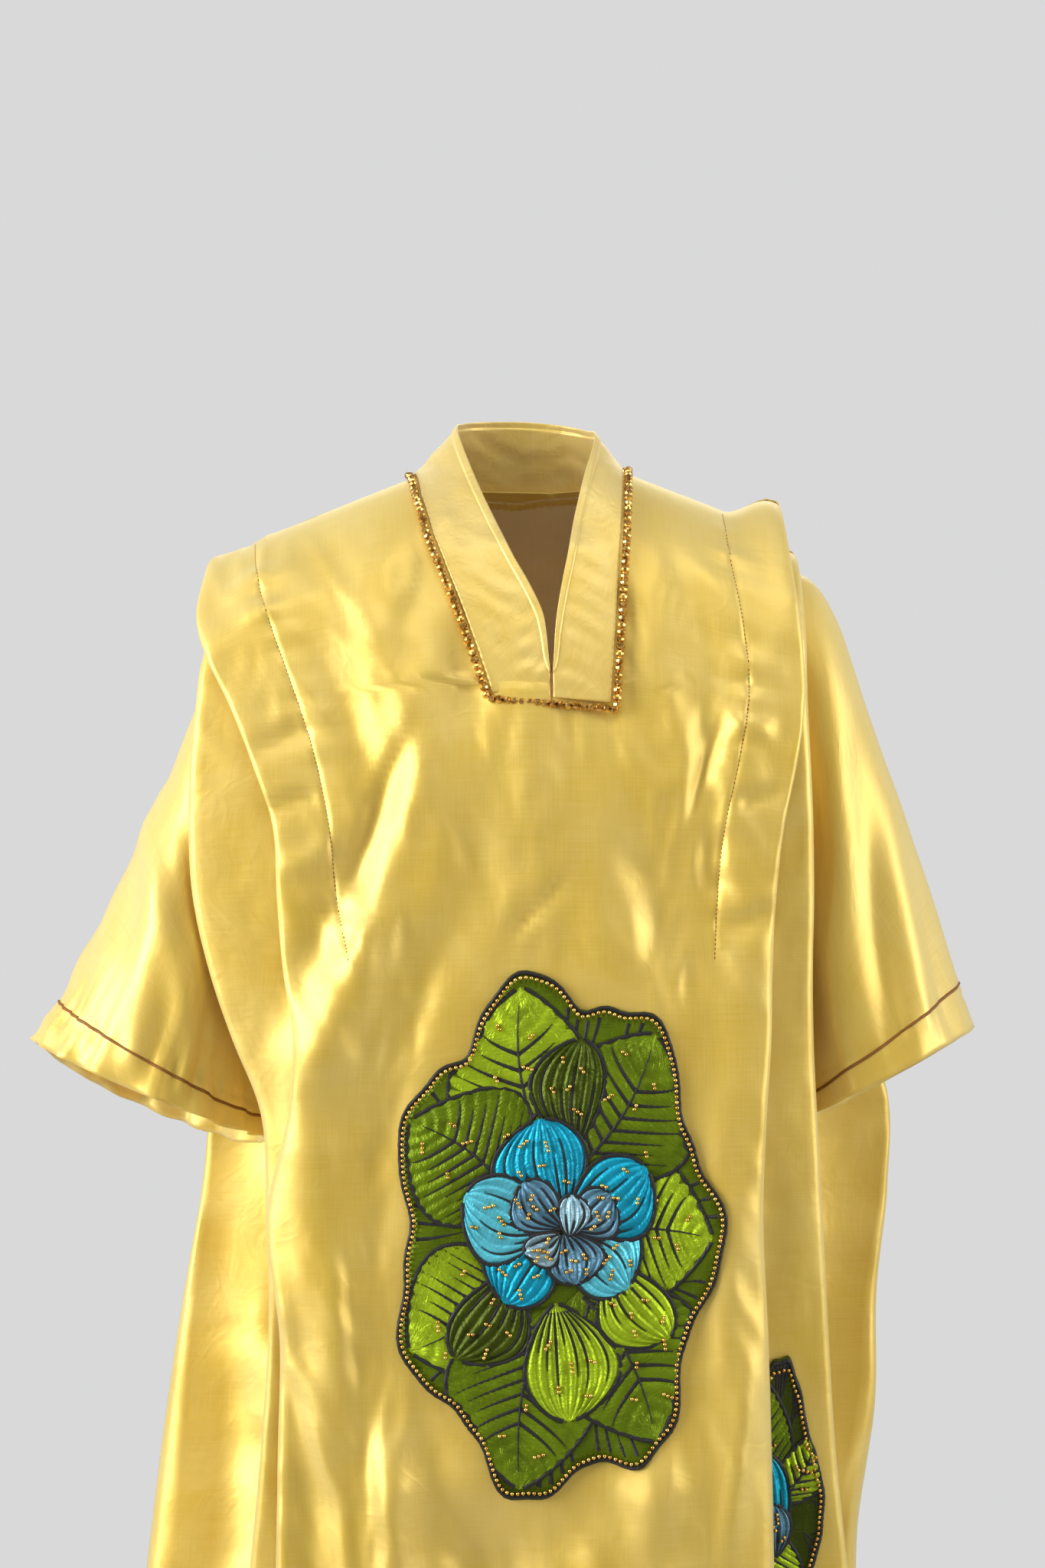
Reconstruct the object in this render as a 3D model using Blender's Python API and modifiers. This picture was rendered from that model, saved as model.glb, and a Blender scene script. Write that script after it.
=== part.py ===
"""Full-length kaftan in its worn, hollow form, built as separate cut pieces.

Run with: blender --background --python part.py
Units are metres, +Z is up, +Y points away from the viewer and +X to the viewer's right.
The origin is where the shoulders hold the garment up, under the middle of the neck.
"""

import math
from collections import namedtuple

import bmesh
import bpy
import numpy as np
from mathutils import Vector
from mathutils.bvhtree import BVHTree

# Driving sizes
WALL = 0.002            # cloth wall
SEAM_GAP = 0.0003       # between pieces at a seam
SEAM_STEP = WALL + 3 * SEAM_GAP
SEAM_HALF = 0.0005      # middle of an edge to its seam: the edges lean a little across it
LAY_GAP = 0.0012        # between a patch and the panel that it lies on
HEM_LEVEL = -1.44       # shoulder to hem
SHOULDER_DROP = 0.085   # height over which the cloth turns over the shoulder
SHOULDER_FADE = 0.45    # height over which sections level out below the shoulder line
ARMHOLE_LEVEL = -0.34   # section that meets the underarm
SKIRT_LEVEL = -0.56     # below it the sides hang free of the arms
SKIRT_SPREAD = 0.60
ARMHOLE_DEPTH = 0.070
ARMHOLE_SET = 0.018     # top of the armhole under the shoulder line
CENTRE_X = 0.021        # the neck sits a little to the viewer's right
SLIT_END = -0.190       # bottom of the neck cut in the front cloth
BACK_NECK_END = -0.022
BEAD_PITCH = 0.0066
BEAD_RADIUS = 0.0037
BEAD_WAIST = 0.0015     # radius of the string between beads
BEAD_CLEAR = 0.0008     # between the beads and the panels
BEAD_SET = 0.0012       # between the beads and the yoke's edge
BOW = 0.12              # share of its depth that a panel loses at the bow width
BOW_WIDTH = 0.25
FOLD_FADE = 0.08        # length over which a fold starts and ends
TUCK_LIE = 0.004        # how far a tuck stands off the panel down the body
TUCK_FADE = 0.05
EDGE_TURN = 0.006       # half thickness of a panel's outer fold
EDGE_TURN_TOP = 0.003
EDGE_TURN_HEM = 0.032   # the same at the back's hem
EDGE_FADE = 0.08        # height below the shoulder over which outer folds open

YOKE_TURN = -1          # which way round the neck the yoke's sections run

FRONT, BACK = -1, 1
LEFT, RIGHT = -1, 1
TUCK_STAND = {LEFT: 0.020, RIGHT: 0.034}   # how far a tuck stands off at the shoulder

# One row for each section of the body, shoulder to hem: distances from x = 0.
Section = namedtuple("Section", "level stitch fold side outline seam")
SECTIONS = {
    LEFT: (
        Section(0.00, 0.242, 0.284, 0.266, 0.266, 0.258),
        Section(-0.05, 0.236, 0.289, 0.276, 0.274, 0.257),
        Section(-0.12, 0.220, 0.277, 0.284, 0.280, 0.255),
        Section(-0.18, 0.202, 0.258, 0.288, 0.284, 0.253),
        Section(-0.25, 0.182, 0.236, 0.292, 0.286, 0.250),
        Section(-0.31, 0.170, 0.218, 0.293, 0.286, 0.248),
        Section(-0.38, 0.163, 0.214, 0.289, 0.284, 0.237),
        Section(-0.44, 0.150, 0.209, 0.276, 0.284, 0.227),
        Section(-0.50, 0.142, 0.200, 0.256, 0.288, 0.218),
        Section(-0.56, 0.140, 0.204, 0.232, 0.295, 0.210),
        Section(-0.65, 0.150, 0.223, 0.226, 0.302, 0.203),
        Section(-0.75, 0.150, 0.212, 0.224, 0.318, 0.203),
        Section(-0.85, 0.150, 0.213, 0.230, 0.333, 0.208),
        Section(-0.98, 0.150, 0.215, 0.242, 0.348, 0.214),
        Section(-1.20, 0.155, 0.225, 0.262, 0.368, 0.225),
        Section(-1.44, 0.165, 0.240, 0.285, 0.385, 0.235),
    ),
    RIGHT: (
        Section(0.00, 0.173, 0.226, 0.240, 0.240, 0.232),
        Section(-0.05, 0.177, 0.232, 0.242, 0.242, 0.232),
        Section(-0.12, 0.187, 0.238, 0.243, 0.245, 0.231),
        Section(-0.18, 0.191, 0.239, 0.243, 0.247, 0.230),
        Section(-0.25, 0.182, 0.231, 0.245, 0.247, 0.229),
        Section(-0.31, 0.170, 0.220, 0.247, 0.248, 0.227),
        Section(-0.38, 0.163, 0.213, 0.248, 0.252, 0.217),
        Section(-0.44, 0.160, 0.210, 0.247, 0.272, 0.211),
        Section(-0.50, 0.155, 0.209, 0.248, 0.308, 0.209),
        Section(-0.56, 0.150, 0.205, 0.251, 0.334, 0.210),
        Section(-0.65, 0.148, 0.202, 0.256, 0.336, 0.210),
        Section(-0.75, 0.150, 0.206, 0.261, 0.325, 0.212),
        Section(-0.85, 0.150, 0.209, 0.267, 0.323, 0.216),
        Section(-0.98, 0.152, 0.211, 0.280, 0.306, 0.220),
        Section(-1.20, 0.155, 0.220, 0.300, 0.322, 0.230),
        Section(-1.44, 0.165, 0.235, 0.322, 0.350, 0.242),
    ),
}

# Depth of the cloth in front of and behind the shoulder ridge, and the free play of the pleats
Depth = namedtuple("Depth", "level front back gap notch")
DEPTHS = (
    Depth(0.00, 0.070, 0.070, 0.007, 0.000),
    Depth(-0.06, 0.088, 0.092, 0.007, 0.000),
    Depth(-0.12, 0.112, 0.116, 0.008, 0.000),
    Depth(-0.20, 0.138, 0.137, 0.008, 0.000),
    Depth(-0.27, 0.152, 0.146, 0.008, 0.000),
    Depth(-0.38, 0.152, 0.162, 0.009, 0.005),
    Depth(-0.44, 0.152, 0.174, 0.010, 0.010),
    Depth(-0.55, 0.152, 0.204, 0.013, 0.020),
    Depth(-0.75, 0.160, 0.214, 0.018, 0.028),
    Depth(-1.00, 0.172, 0.222, 0.022, 0.030),
    Depth(-1.44, 0.190, 0.238, 0.028, 0.030),
)

# Height of the shoulder line across the garment
Shoulder = namedtuple("Shoulder", "x z")
SHOULDERS = (
    Shoulder(-0.300, -0.110), Shoulder(-0.262, -0.085), Shoulder(-0.242, -0.062),
    Shoulder(-0.101, -0.006), Shoulder(-0.050, 0.004), Shoulder(0.020, 0.008),
    Shoulder(0.077, 0.002), Shoulder(0.173, -0.035), Shoulder(0.232, -0.066),
    Shoulder(0.270, -0.090),
)

# Neck cut of the front cloth, hidden under the yoke
NeckCut = namedtuple("NeckCut", "level left right")
FRONT_CUT = (
    NeckCut(0.00, -0.094, 0.078), NeckCut(-0.05, -0.080, 0.073), NeckCut(-0.10, -0.062, 0.066),
    NeckCut(-0.15, -0.044, 0.058), NeckCut(SLIT_END, -0.030, 0.055),
)
BACK_CUT = (
    NeckCut(0.00, -0.094, 0.078), NeckCut(-0.007, -0.078, 0.068),
    NeckCut(BACK_NECK_END, -0.040, 0.050),
)

# Largest folds: soft ridges, or troughs where the height is below zero, from end to end
Fold = namedtuple("Fold", "x0 z0 x1 z1 width height")
FRONT_FOLDS = (
    Fold(-0.088, -0.222, -0.119, -0.379, 0.020, 0.010),
    Fold(-0.119, -0.379, -0.190, -0.536, 0.028, 0.022),
    Fold(-0.150, -0.330, -0.186, -0.440, 0.016, -0.008),
    Fold(-0.190, -0.560, -0.172, -0.860, 0.030, 0.012),
    Fold(-0.200, -0.730, -0.140, -1.600, 0.020, -0.014),
    Fold(-0.118, -0.860, -0.112, -1.600, 0.022, 0.016),
    Fold(-0.035, -0.905, -0.030, -1.600, 0.055, -0.030),
    Fold(0.035, -0.220, 0.038, -0.430, 0.020, -0.005),
    Fold(0.150, -0.200, 0.160, -0.378, 0.014, -0.007),
    Fold(0.110, -0.850, 0.118, -1.600, 0.032, 0.018),
    Fold(0.175, -0.520, 0.180, -1.600, 0.024, 0.010),
)
BACK_FOLDS = (
    Fold(0.020, -0.180, 0.022, -1.600, 0.040, 0.014),
    Fold(-0.060, -0.330, -0.075, -1.600, 0.034, -0.020),
    Fold(0.095, -0.300, 0.110, -1.600, 0.034, -0.018),
    Fold(-0.130, -0.450, -0.150, -1.600, 0.030, 0.014),
    Fold(0.150, -0.500, 0.170, -1.600, 0.026, 0.012),
)

# Sleeve rings, armhole to hem: outer line, underarm line and half depth
Ring = namedtuple("Ring", "outer_x outer_z inner_x inner_z depth")
SLEEVES = {
    LEFT: (
        Ring(0.258, -0.101, 0.247, -0.345, 0.070),
        Ring(0.266, -0.122, 0.255, -0.388, 0.073),
        Ring(0.273, -0.154, 0.257, -0.422, 0.077),
        Ring(0.285, -0.195, 0.255, -0.456, 0.082),
        Ring(0.309, -0.254, 0.251, -0.487, 0.087),
        Ring(0.339, -0.310, 0.246, -0.515, 0.092),
        Ring(0.376, -0.388, 0.241, -0.546, 0.098),
        Ring(0.413, -0.458, 0.237, -0.572, 0.103),
        Ring(0.440, -0.510, 0.234, -0.596, 0.108),
    ),
    RIGHT: (
        Ring(0.232, -0.084, 0.226, -0.345, 0.070),
        Ring(0.257, -0.101, 0.236, -0.385, 0.073),
        Ring(0.275, -0.130, 0.240, -0.418, 0.077),
        Ring(0.289, -0.169, 0.240, -0.448, 0.082),
        Ring(0.303, -0.226, 0.239, -0.478, 0.087),
        Ring(0.325, -0.288, 0.238, -0.507, 0.092),
        Ring(0.357, -0.373, 0.237, -0.536, 0.097),
        Ring(0.381, -0.442, 0.238, -0.560, 0.102),
        Ring(0.400, -0.498, 0.239, -0.582, 0.107),
    ),
}
HEM_RISE = {LEFT: 0.006, RIGHT: 0.009}     # front of the sleeve hem above its middle
HEM_FALL = {LEFT: 0.034, RIGHT: 0.022}     # back of the sleeve hem below its middle

# Neck yoke, from the foot of the V up the left, round the back of the neck and down the right.
# The outer edge lies on a panel at a level. The inner edge has a place of its own where the
# yoke stands up as a collar, and lies on the front cloth, with no y, where it doesn't.
Yoke = namedtuple("Yoke", "face outer_x outer_level inner_x inner_y inner_z")
YOKE = (
    Yoke(FRONT, 0.0203, -0.2080, 0.0193, None, -0.178),
    Yoke(FRONT, -0.0040, -0.2060, 0.0180, None, -0.166),
    Yoke(FRONT, -0.0300, -0.2030, 0.0165, None, -0.150),
    Yoke(FRONT, -0.0410, -0.1700, 0.0130, None, -0.131),
    Yoke(FRONT, -0.0540, -0.1330, 0.0020, None, -0.107),
    Yoke(FRONT, -0.0680, -0.0960, -0.0120, None, -0.082),
    Yoke(FRONT, -0.0820, -0.0600, -0.0270, -0.078, -0.052),
    Yoke(FRONT, -0.0930, -0.0240, -0.0440, -0.050, -0.014),
    Yoke(FRONT, -0.1010, 0.0000, -0.0610, -0.010, 0.034),
    Yoke(BACK, -0.0900, -0.0120, -0.0560, 0.022, 0.044),
    Yoke(BACK, -0.0580, -0.0260, -0.0360, 0.042, 0.048),
    Yoke(BACK, -0.0080, -0.0310, -0.0030, 0.050, 0.049),
    Yoke(BACK, 0.0430, -0.0260, 0.0300, 0.043, 0.045),
    Yoke(BACK, 0.0750, -0.0120, 0.0520, 0.024, 0.038),
    Yoke(FRONT, 0.0855, 0.0000, 0.0600, -0.008, 0.030),
    Yoke(FRONT, 0.0840, -0.0240, 0.0500, -0.048, -0.010),
    Yoke(FRONT, 0.0820, -0.0600, 0.0410, -0.076, -0.050),
    Yoke(FRONT, 0.0790, -0.0980, 0.0350, None, -0.082),
    Yoke(FRONT, 0.0765, -0.1360, 0.0300, None, -0.107),
    Yoke(FRONT, 0.0740, -0.1740, 0.0260, None, -0.131),
    Yoke(FRONT, 0.0715, -0.2110, 0.0240, None, -0.150),
    Yoke(FRONT, 0.0460, -0.2095, 0.0232, None, -0.166),
    Yoke(FRONT, 0.0217, -0.2080, 0.0223, None, -0.178),
)

# Flower patches: middle, half sizes, and how deep and how many the lobes of the edge are
Patch = namedtuple("Patch", "name x z half_width half_height lobes lobe_depth layer")
PATCHES = (
    Patch("applique_front", 0.024, -0.665, 0.135, 0.215, 7, 0.075, 0),
    Patch("applique_side_left", -0.204, -1.100, 0.026, 0.140, 5, 0.080, 2),
    Patch("applique_side_right", 0.212, -0.905, 0.042, 0.125, 5, 0.080, 2),
)

# Colours (linear), roughness
Finish = namedtuple("Finish", "colour roughness metallic")
GOLD_ORGANZA = Finish((0.74, 0.48, 0.11), 0.34, 0.0)
YOKE_ORGANZA = Finish((0.80, 0.58, 0.20), 0.32, 0.0)
BEAD_GOLD = Finish((0.55, 0.30, 0.06), 0.22, 1.0)
GREEN_SATIN = Finish((0.17, 0.26, 0.02), 0.38, 0.0)

# Faces of each stretch of a half section
COLUMNS = {
    FRONT: {"centre": 8, "tuck": 3, "under": 2, "side": 4, "return": 3},
    BACK: {"centre": 6, "tuck": 2, "under": 1, "side": 3, "return": 3},
}


def blend(table, level):
    """Values of a table of sections at a level, on a smooth curve through its rows."""
    levels = [-row[0] for row in table]
    values = np.array([row[1:] for row in table], dtype=float)
    slopes = np.gradient(values, levels, axis=0)
    place = min(max(-level, levels[0]), levels[-1])
    i = min(max(int(np.searchsorted(levels, place)) - 1, 0), len(levels) - 2)
    span = levels[i + 1] - levels[i]
    t = (place - levels[i]) / span
    row = ((1 + 2 * t) * (1 - t) ** 2 * values[i] + t * (1 - t) ** 2 * span * slopes[i]
           + t * t * (3 - 2 * t) * values[i + 1] + t * t * (t - 1) * span * slopes[i + 1])
    return type(table[0])(level, *row)


def ease(t):
    """Smooth step from 0 to 1."""
    t = min(max(t, 0.0), 1.0)
    return t * t * (3 - 2 * t)


def mix(a, b, t):
    """Value between a and b."""
    return a + (b - a) * t


def shoulder_height(x):
    """Height of the shoulder line."""
    return float(np.interp(x, [row.x for row in SHOULDERS], [row.z for row in SHOULDERS]))


def height_at(x, level):
    """Height of a section's point: it follows the shoulder line at the top and is level below."""
    return level + shoulder_height(x) * max(0.0, 1 + level / SHOULDER_FADE) ** 2


def fold_height(x, z, face):
    """How far the placed folds lift the cloth at a point."""
    total = 0.0
    for fold in FRONT_FOLDS if face == FRONT else BACK_FOLDS:
        run = np.array((fold.x1 - fold.x0, fold.z1 - fold.z0))
        length = float(np.hypot(*run))
        along = float((x - fold.x0) * run[0] + (z - fold.z0) * run[1]) / length
        across = float((x - fold.x0) * run[1] - (z - fold.z0) * run[0]) / length
        fade = ease(along / FOLD_FADE + 0.5) * ease((length - along) / FOLD_FADE + 0.5)
        total += fold.height * fade * math.exp(-(across / fold.width) ** 2)
    return total


def on_panel(x, z, offset, face):
    """Point of the front or back, moved out from the cloth's middle by an offset."""
    depth = blend(DEPTHS, min(z, 0.0))
    reach = (depth.front if face == FRONT else depth.back) * (1 - BOW * (x / BOW_WIDTH) ** 2)
    cosine = max(0.0, 1 - max(0.0, shoulder_height(x) - z) / SHOULDER_DROP)
    sine = math.sqrt(1 - cosine * cosine)
    normal = Vector((0.0, face * sine / reach, cosine / SHOULDER_DROP)).normalized()
    return Vector((x, face * reach * sine, z)) + normal * offset


def seam_point(level, side, face):
    """Armhole edge above the underarm, side seam below it."""
    x = side * blend(SECTIONS[side], level).seam
    if level >= ARMHOLE_LEVEL:
        top = height_at(side * SECTIONS[side][0].seam, 0.0) - ARMHOLE_SET
        bottom = height_at(x, ARMHOLE_LEVEL)
        turn = math.pi * level / ARMHOLE_LEVEL
        return Vector((x, face * (ARMHOLE_DEPTH * math.sin(turn) + SEAM_HALF),
                       mix(bottom, top, (1 + math.cos(turn)) / 2)))
    return Vector((x, blend(DEPTHS, level).notch + face * SEAM_HALF, height_at(x, level)))


def half_section(level, side, face, cut):
    """Half of a panel's section, from the neck cut or the centre out to the side seam.

    The cloth runs out over the tuck, back under it, out again as the side of the panel, and
    turns in at its outer fold to reach the seam.
    """
    plan = blend(SECTIONS[side], level)
    edge = plan.side if face == FRONT else plan.outline
    gap = blend(DEPTHS, level).gap
    turn = gap / 2
    edge_turn = mix(EDGE_TURN_TOP, EDGE_TURN, ease(-level / EDGE_FADE))
    if face == BACK:
        edge_turn = mix(edge_turn, EDGE_TURN_HEM, ease((SKIRT_LEVEL - level) / SKIRT_SPREAD))
    inner_x = CENTRE_X
    if level > cut[-1].level + 1e-6:
        row = blend(cut, level)
        inner_x = row.left if side == LEFT else row.right
    stand_off = mix(TUCK_LIE, TUCK_STAND[side], math.exp(level / TUCK_FADE))
    side_drop = mix(-2 * gap, -TUCK_LIE, ease(1 + level / EDGE_FADE))

    points = []

    def add(x, offset):
        z = height_at(x, level)
        points.append(on_panel(x, z, offset + fold_height(x, z, face), face))

    columns = COLUMNS[face]
    for i in range(columns["centre"] + 1):
        add(mix(inner_x, side * plan.stitch, i / columns["centre"]), 0.0)
    for i in range(1, columns["tuck"] + 1):
        t = i / columns["tuck"]
        add(side * mix(plan.stitch, plan.fold - turn, t), stand_off * ease(t))
    add(side * plan.fold, stand_off - turn)
    add(side * (plan.fold - turn), stand_off - gap)
    for i in range(1, columns["under"] + 1):
        t = i / columns["under"]
        add(side * mix(plan.fold - turn, plan.stitch + turn, t), mix(stand_off, 0, ease(t)) - gap)
    add(side * plan.stitch, -1.5 * gap)
    add(side * (plan.stitch + turn), -2 * gap)
    for i in range(1, columns["side"] + 1):
        t = i / columns["side"]
        add(side * mix(plan.stitch + turn, edge - edge_turn, t), mix(-2 * gap, side_drop, t))
    add(side * edge, side_drop - edge_turn)
    add(side * (edge - edge_turn), side_drop - 2 * edge_turn)

    start = points[-1]
    end = seam_point(level, side, face)
    for i in range(1, columns["return"] + 1):
        t = i / columns["return"]
        points.append(Vector((mix(start.x, end.x, 1 - (1 - t) ** 3),
                              mix(start.y, end.y, t ** 1.6), mix(start.z, end.z, t))))
    return points


def section_levels():
    """Levels of the sections: close over the shoulder, wide towards the hem."""
    over = [-SHOULDER_DROP * (1 - math.cos(math.radians(18 * i))) for i in range(6)]
    chest = list(np.linspace(-SHOULDER_DROP, SLIT_END, 4)[1:])
    armhole = list(np.linspace(SLIT_END, ARMHOLE_LEVEL, 5)[1:])
    waist = list(np.linspace(ARMHOLE_LEVEL, SKIRT_LEVEL, 7)[1:])
    skirt = [mix(SKIRT_LEVEL, HEM_LEVEL, (i / 11) ** 1.15) for i in range(1, 12)]
    return over + chest + armhole + waist + skirt


def grid(rows, closed=False):
    """A bmesh grid through rows of points; closed joins the first column to the last."""
    bm = bmesh.new()
    across, down = len(rows[0]) - 1, len(rows) - 1
    bmesh.ops.create_grid(bm, x_segments=across, y_segments=down, size=0.5)
    for vert in bm.verts:
        column = round((vert.co.x + 0.5) * across)
        row = round((vert.co.y + 0.5) * down)
        vert.co = rows[row][column]
    if closed:
        bmesh.ops.remove_doubles(bm, verts=bm.verts, dist=1e-6)
    return bm


def add_object(name, bm, finish, wall=None):
    """Object of a mesh in the kaftan's collection, with its material and, if open, its wall."""
    bmesh.ops.recalc_face_normals(bm, faces=bm.faces)
    mesh = bpy.data.meshes.new(name)
    bm.to_mesh(mesh)
    bm.free()
    piece = bpy.data.objects.new(name, mesh)
    bpy.data.collections["kaftan"].objects.link(piece)
    piece.data.materials.append(material(name, finish))
    if wall:
        shell = piece.modifiers.new("wall", "SOLIDIFY")
        shell.thickness = wall
        shell.offset = 0.0
        shell.use_quality_normals = True
    return piece


def material(name, finish):
    """Principled material of a finish."""
    made = bpy.data.materials.new(name)
    made.use_nodes = True
    shader = made.node_tree.nodes["Principled BSDF"]
    shader.inputs["Base Color"].default_value = (*finish.colour, 1.0)
    shader.inputs["Roughness"].default_value = finish.roughness
    shader.inputs["Metallic"].default_value = finish.metallic
    return made


def build_panel(name, face, cut):
    """Front or back: two halves that share the centre line below the neck cut."""
    bm = bmesh.new()
    for side in (LEFT, RIGHT):
        half = grid([half_section(level, side, face, cut) for level in section_levels()])
        mesh = bpy.data.meshes.new("half")
        half.to_mesh(mesh)
        half.free()
        bm.from_mesh(mesh)
        bpy.data.meshes.remove(mesh)
    for vert in bm.verts:
        if abs(vert.co.y) < 1e-5:
            vert.co.y = face * SEAM_HALF
    bmesh.ops.remove_doubles(bm, verts=bm.verts, dist=1e-6)
    return add_object(name, bm, GOLD_ORGANZA, WALL)


def build_sleeve(name, side):
    """Bell sleeve: rings from the armhole, just inside its edge, to the hem."""
    around = 20
    rings = SLEEVES[side]
    rows = []
    for number, ring in enumerate(rings):
        row = []
        for i in range(around + 1):
            turn = 2 * math.pi * (i % around) / around
            face = FRONT if turn <= math.pi else BACK
            if number == 0:
                share = turn if turn <= math.pi else 2 * math.pi - turn
                point = seam_point(ARMHOLE_LEVEL * share / math.pi, side, face)
                middle = Vector((point.x, 0.0, (rings[0].outer_z + rings[0].inner_z) / 2))
                below = max(0.0, -math.cos(turn))
                row.append(point + (middle - point).normalized() * SEAM_STEP
                           + Vector((side * SEAM_STEP * min(1.0, 1.6 * below), 0, 0)))
                continue
            share = (1 + math.cos(turn)) / 2
            sag = HEM_RISE[side] if face == FRONT else -HEM_FALL[side]
            run = (number / (len(rings) - 1)) ** 2
            row.append(Vector((
                side * mix(ring.inner_x, ring.outer_x, share),
                -ring.depth * math.sin(turn),
                mix(ring.inner_z, ring.outer_z, share) + sag * run * abs(math.sin(turn)))))
        rows.append(row)
    return add_object(name, grid(rows, closed=True), GOLD_ORGANZA, WALL)


def solid_tree(piece):
    """Search tree of a piece's finished surface."""
    graph = bpy.context.evaluated_depsgraph_get()
    return BVHTree.FromObject(piece, graph)


def laid_on(tree, x, z, offset, above, gap=LAY_GAP):
    """Point above a panel's finished surface, in front of it by a gap and half a wall.

    The ray starts above the cloth at an offset, so that it finds the layer meant.
    """
    start = on_panel(x, z, offset + above, FRONT)
    hit = tree.ray_cast(start, Vector((0, 1, 0)), 2 * above + 0.02)[0]
    smooth = on_panel(x, z, offset + WALL / 2, FRONT)
    surface = hit.y if hit else smooth.y
    return Vector((x, min(surface, smooth.y) - gap - WALL / 2, z))


def unrolled(face, level):
    """Distance from the shoulder line down the front (below zero) or down the back."""
    drop = -level
    if drop >= SHOULDER_DROP:
        return face * (SHOULDER_DROP * math.pi / 2 + drop - SHOULDER_DROP)
    return face * SHOULDER_DROP * math.acos(1 - drop / SHOULDER_DROP)


def rolled(x, run, offset):
    """Point off a panel at a distance run down from the shoulder line, as unrolled gives it."""
    turn = abs(run) / SHOULDER_DROP
    if turn < math.pi / 2:
        level = -SHOULDER_DROP * (1 - math.cos(turn))
    else:
        level = -SHOULDER_DROP * (1 + turn - math.pi / 2)
    return on_panel(x, height_at(x, level), offset, FRONT if run < 0 else BACK)


def yoke_depth(point):
    """Depth of a point of the yoke's inner edge: its own, or the front cloth's if it has none."""
    x, y, z = point
    return on_panel(x, z, 0.0, FRONT).y if y is None else y


def yoke_rows():
    """Sections of the yoke with one more between each pair: outer place, run and inner point."""
    rows = []
    for row in YOKE:
        inner = (row.inner_x, row.inner_y, row.inner_z)
        rows.append((row.outer_x, unrolled(row.face, row.outer_level), inner))
    full = []
    for here, after in zip(rows, rows[1:]):
        bare = here[2][1] is None and after[2][1] is None
        depth = None if bare else mix(yoke_depth(here[2]), yoke_depth(after[2]), 0.5)
        middle = (mix(here[2][0], after[2][0], 0.5), depth, mix(here[2][2], after[2][2], 0.5))
        full += [here, (mix(here[0], after[0], 0.5), mix(here[1], after[1], 0.5), middle)]
    return full + [rows[-1]]


def build_yoke(front_tree):
    """Neck band and placket: a strip between the bead line and the neck edge."""
    across = 3
    rows = []
    for outer_x, run, (inner_x, inner_y, inner_z) in yoke_rows():
        outer = rolled(outer_x, run, WALL + 2 * LAY_GAP)
        away = Vector((outer.x - CENTRE_X, outer.y, 0)).normalized()
        points = []
        for i in range(across + 1):
            t = i / across
            if inner_y is None:
                x, z = mix(outer_x, inner_x, t), mix(outer.z, inner_z, t)
                points.append(laid_on(front_tree, x, z, 0.0, 0.02))
            else:
                inner = Vector((inner_x, inner_y, inner_z))
                points.append(outer.lerp(inner, t) + away * (LAY_GAP * math.sin(math.pi * t)))
        rows.append(points)
    return add_object("neck_yoke", grid(rows), YOKE_ORGANZA, WALL)


def bead_line(panel_trees):
    """Middles of the bead string's rings, just outside the yoke's outer edge, as a closed loop."""
    clear = BEAD_RADIUS + BEAD_CLEAR
    edge = [np.array((row.outer_x, unrolled(row.face, row.outer_level))) for row in YOKE[1:-1]]
    corners = []
    for before, here, after in zip(edge[-1:] + edge[:-1], edge, edge[1:] + edge[:1]):
        normals = []
        for run in (here - before, after - here):
            normals.append(np.array((-run[1], run[0])) / np.linalg.norm(run))
        mitre = (normals[0] + normals[1]) / (1 + float(normals[0] @ normals[1]))
        corners.append(here - mitre * YOKE_TURN * (BEAD_RADIUS + BEAD_SET))
    fine = []
    for here, after in zip(corners, corners[1:] + corners[:1]):
        for i in range(20):
            x, run = mix(here, after, i / 20)
            fine.append(rolled(x, run, clear))
    fine.append(fine[0])
    lengths = np.cumsum([0.0] + [(b - a).length for a, b in zip(fine, fine[1:])])
    coords = np.array(fine)
    rings = 2 * round(lengths[-1] / BEAD_PITCH)
    line = []
    for place in np.linspace(0.0, lengths[-1], rings + 1)[:-1]:
        point = Vector([float(np.interp(place, lengths, coords[:, axis])) for axis in range(3)])
        for tree in panel_trees:
            surface, normal, _index, distance = tree.find_nearest(point)
            if distance < clear:
                point = surface + (point - surface).normalized() * clear
        line.append(point)
    return line


def build_beads(panel_trees):
    """Row of large beads as one string: a tube that swells at each bead."""
    curve = bpy.data.curves.new("bead_trim", "CURVE")
    curve.dimensions = "3D"
    curve.bevel_depth = BEAD_RADIUS
    curve.bevel_resolution = 0
    line = bead_line(panel_trees)
    spline = curve.splines.new("POLY")
    spline.points.add(len(line) - 1)
    spline.use_cyclic_u = True
    for i, place in enumerate(line):
        spline.points[i].co = (*place, 1.0)
        spline.points[i].radius = BEAD_WAIST / BEAD_RADIUS if i % 2 == 0 else 1.0
    piece = bpy.data.objects.new("bead_trim", curve)
    bpy.data.collections["kaftan"].objects.link(piece)
    curve.materials.append(material("bead_trim", BEAD_GOLD))
    return piece


def build_patch(patch, front_tree):
    """Flower patch that follows the front cloth, with a lobed edge."""
    around, rings, gap = (20, 5, 1.25 * LAY_GAP) if patch.layer else (24, 6, LAY_GAP)
    rows = []
    for ring in range(rings + 1):
        row = []
        for i in range(around + 1):
            turn = 2 * math.pi * (i % around) / around
            lobe = 1 + patch.lobe_depth * math.cos(patch.lobes * turn)
            reach = lobe * ring / rings
            x = patch.x + patch.half_width * reach * math.cos(turn)
            z = patch.z + patch.half_height * reach * math.sin(turn)
            offset = -patch.layer * blend(DEPTHS, z).gap + fold_height(x, z, FRONT)
            row.append(laid_on(front_tree, x, z, offset, 0.007, gap))
        rows.append(row)
    return add_object(patch.name, grid(rows, closed=True), GREEN_SATIN, WALL * 0.75)


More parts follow.
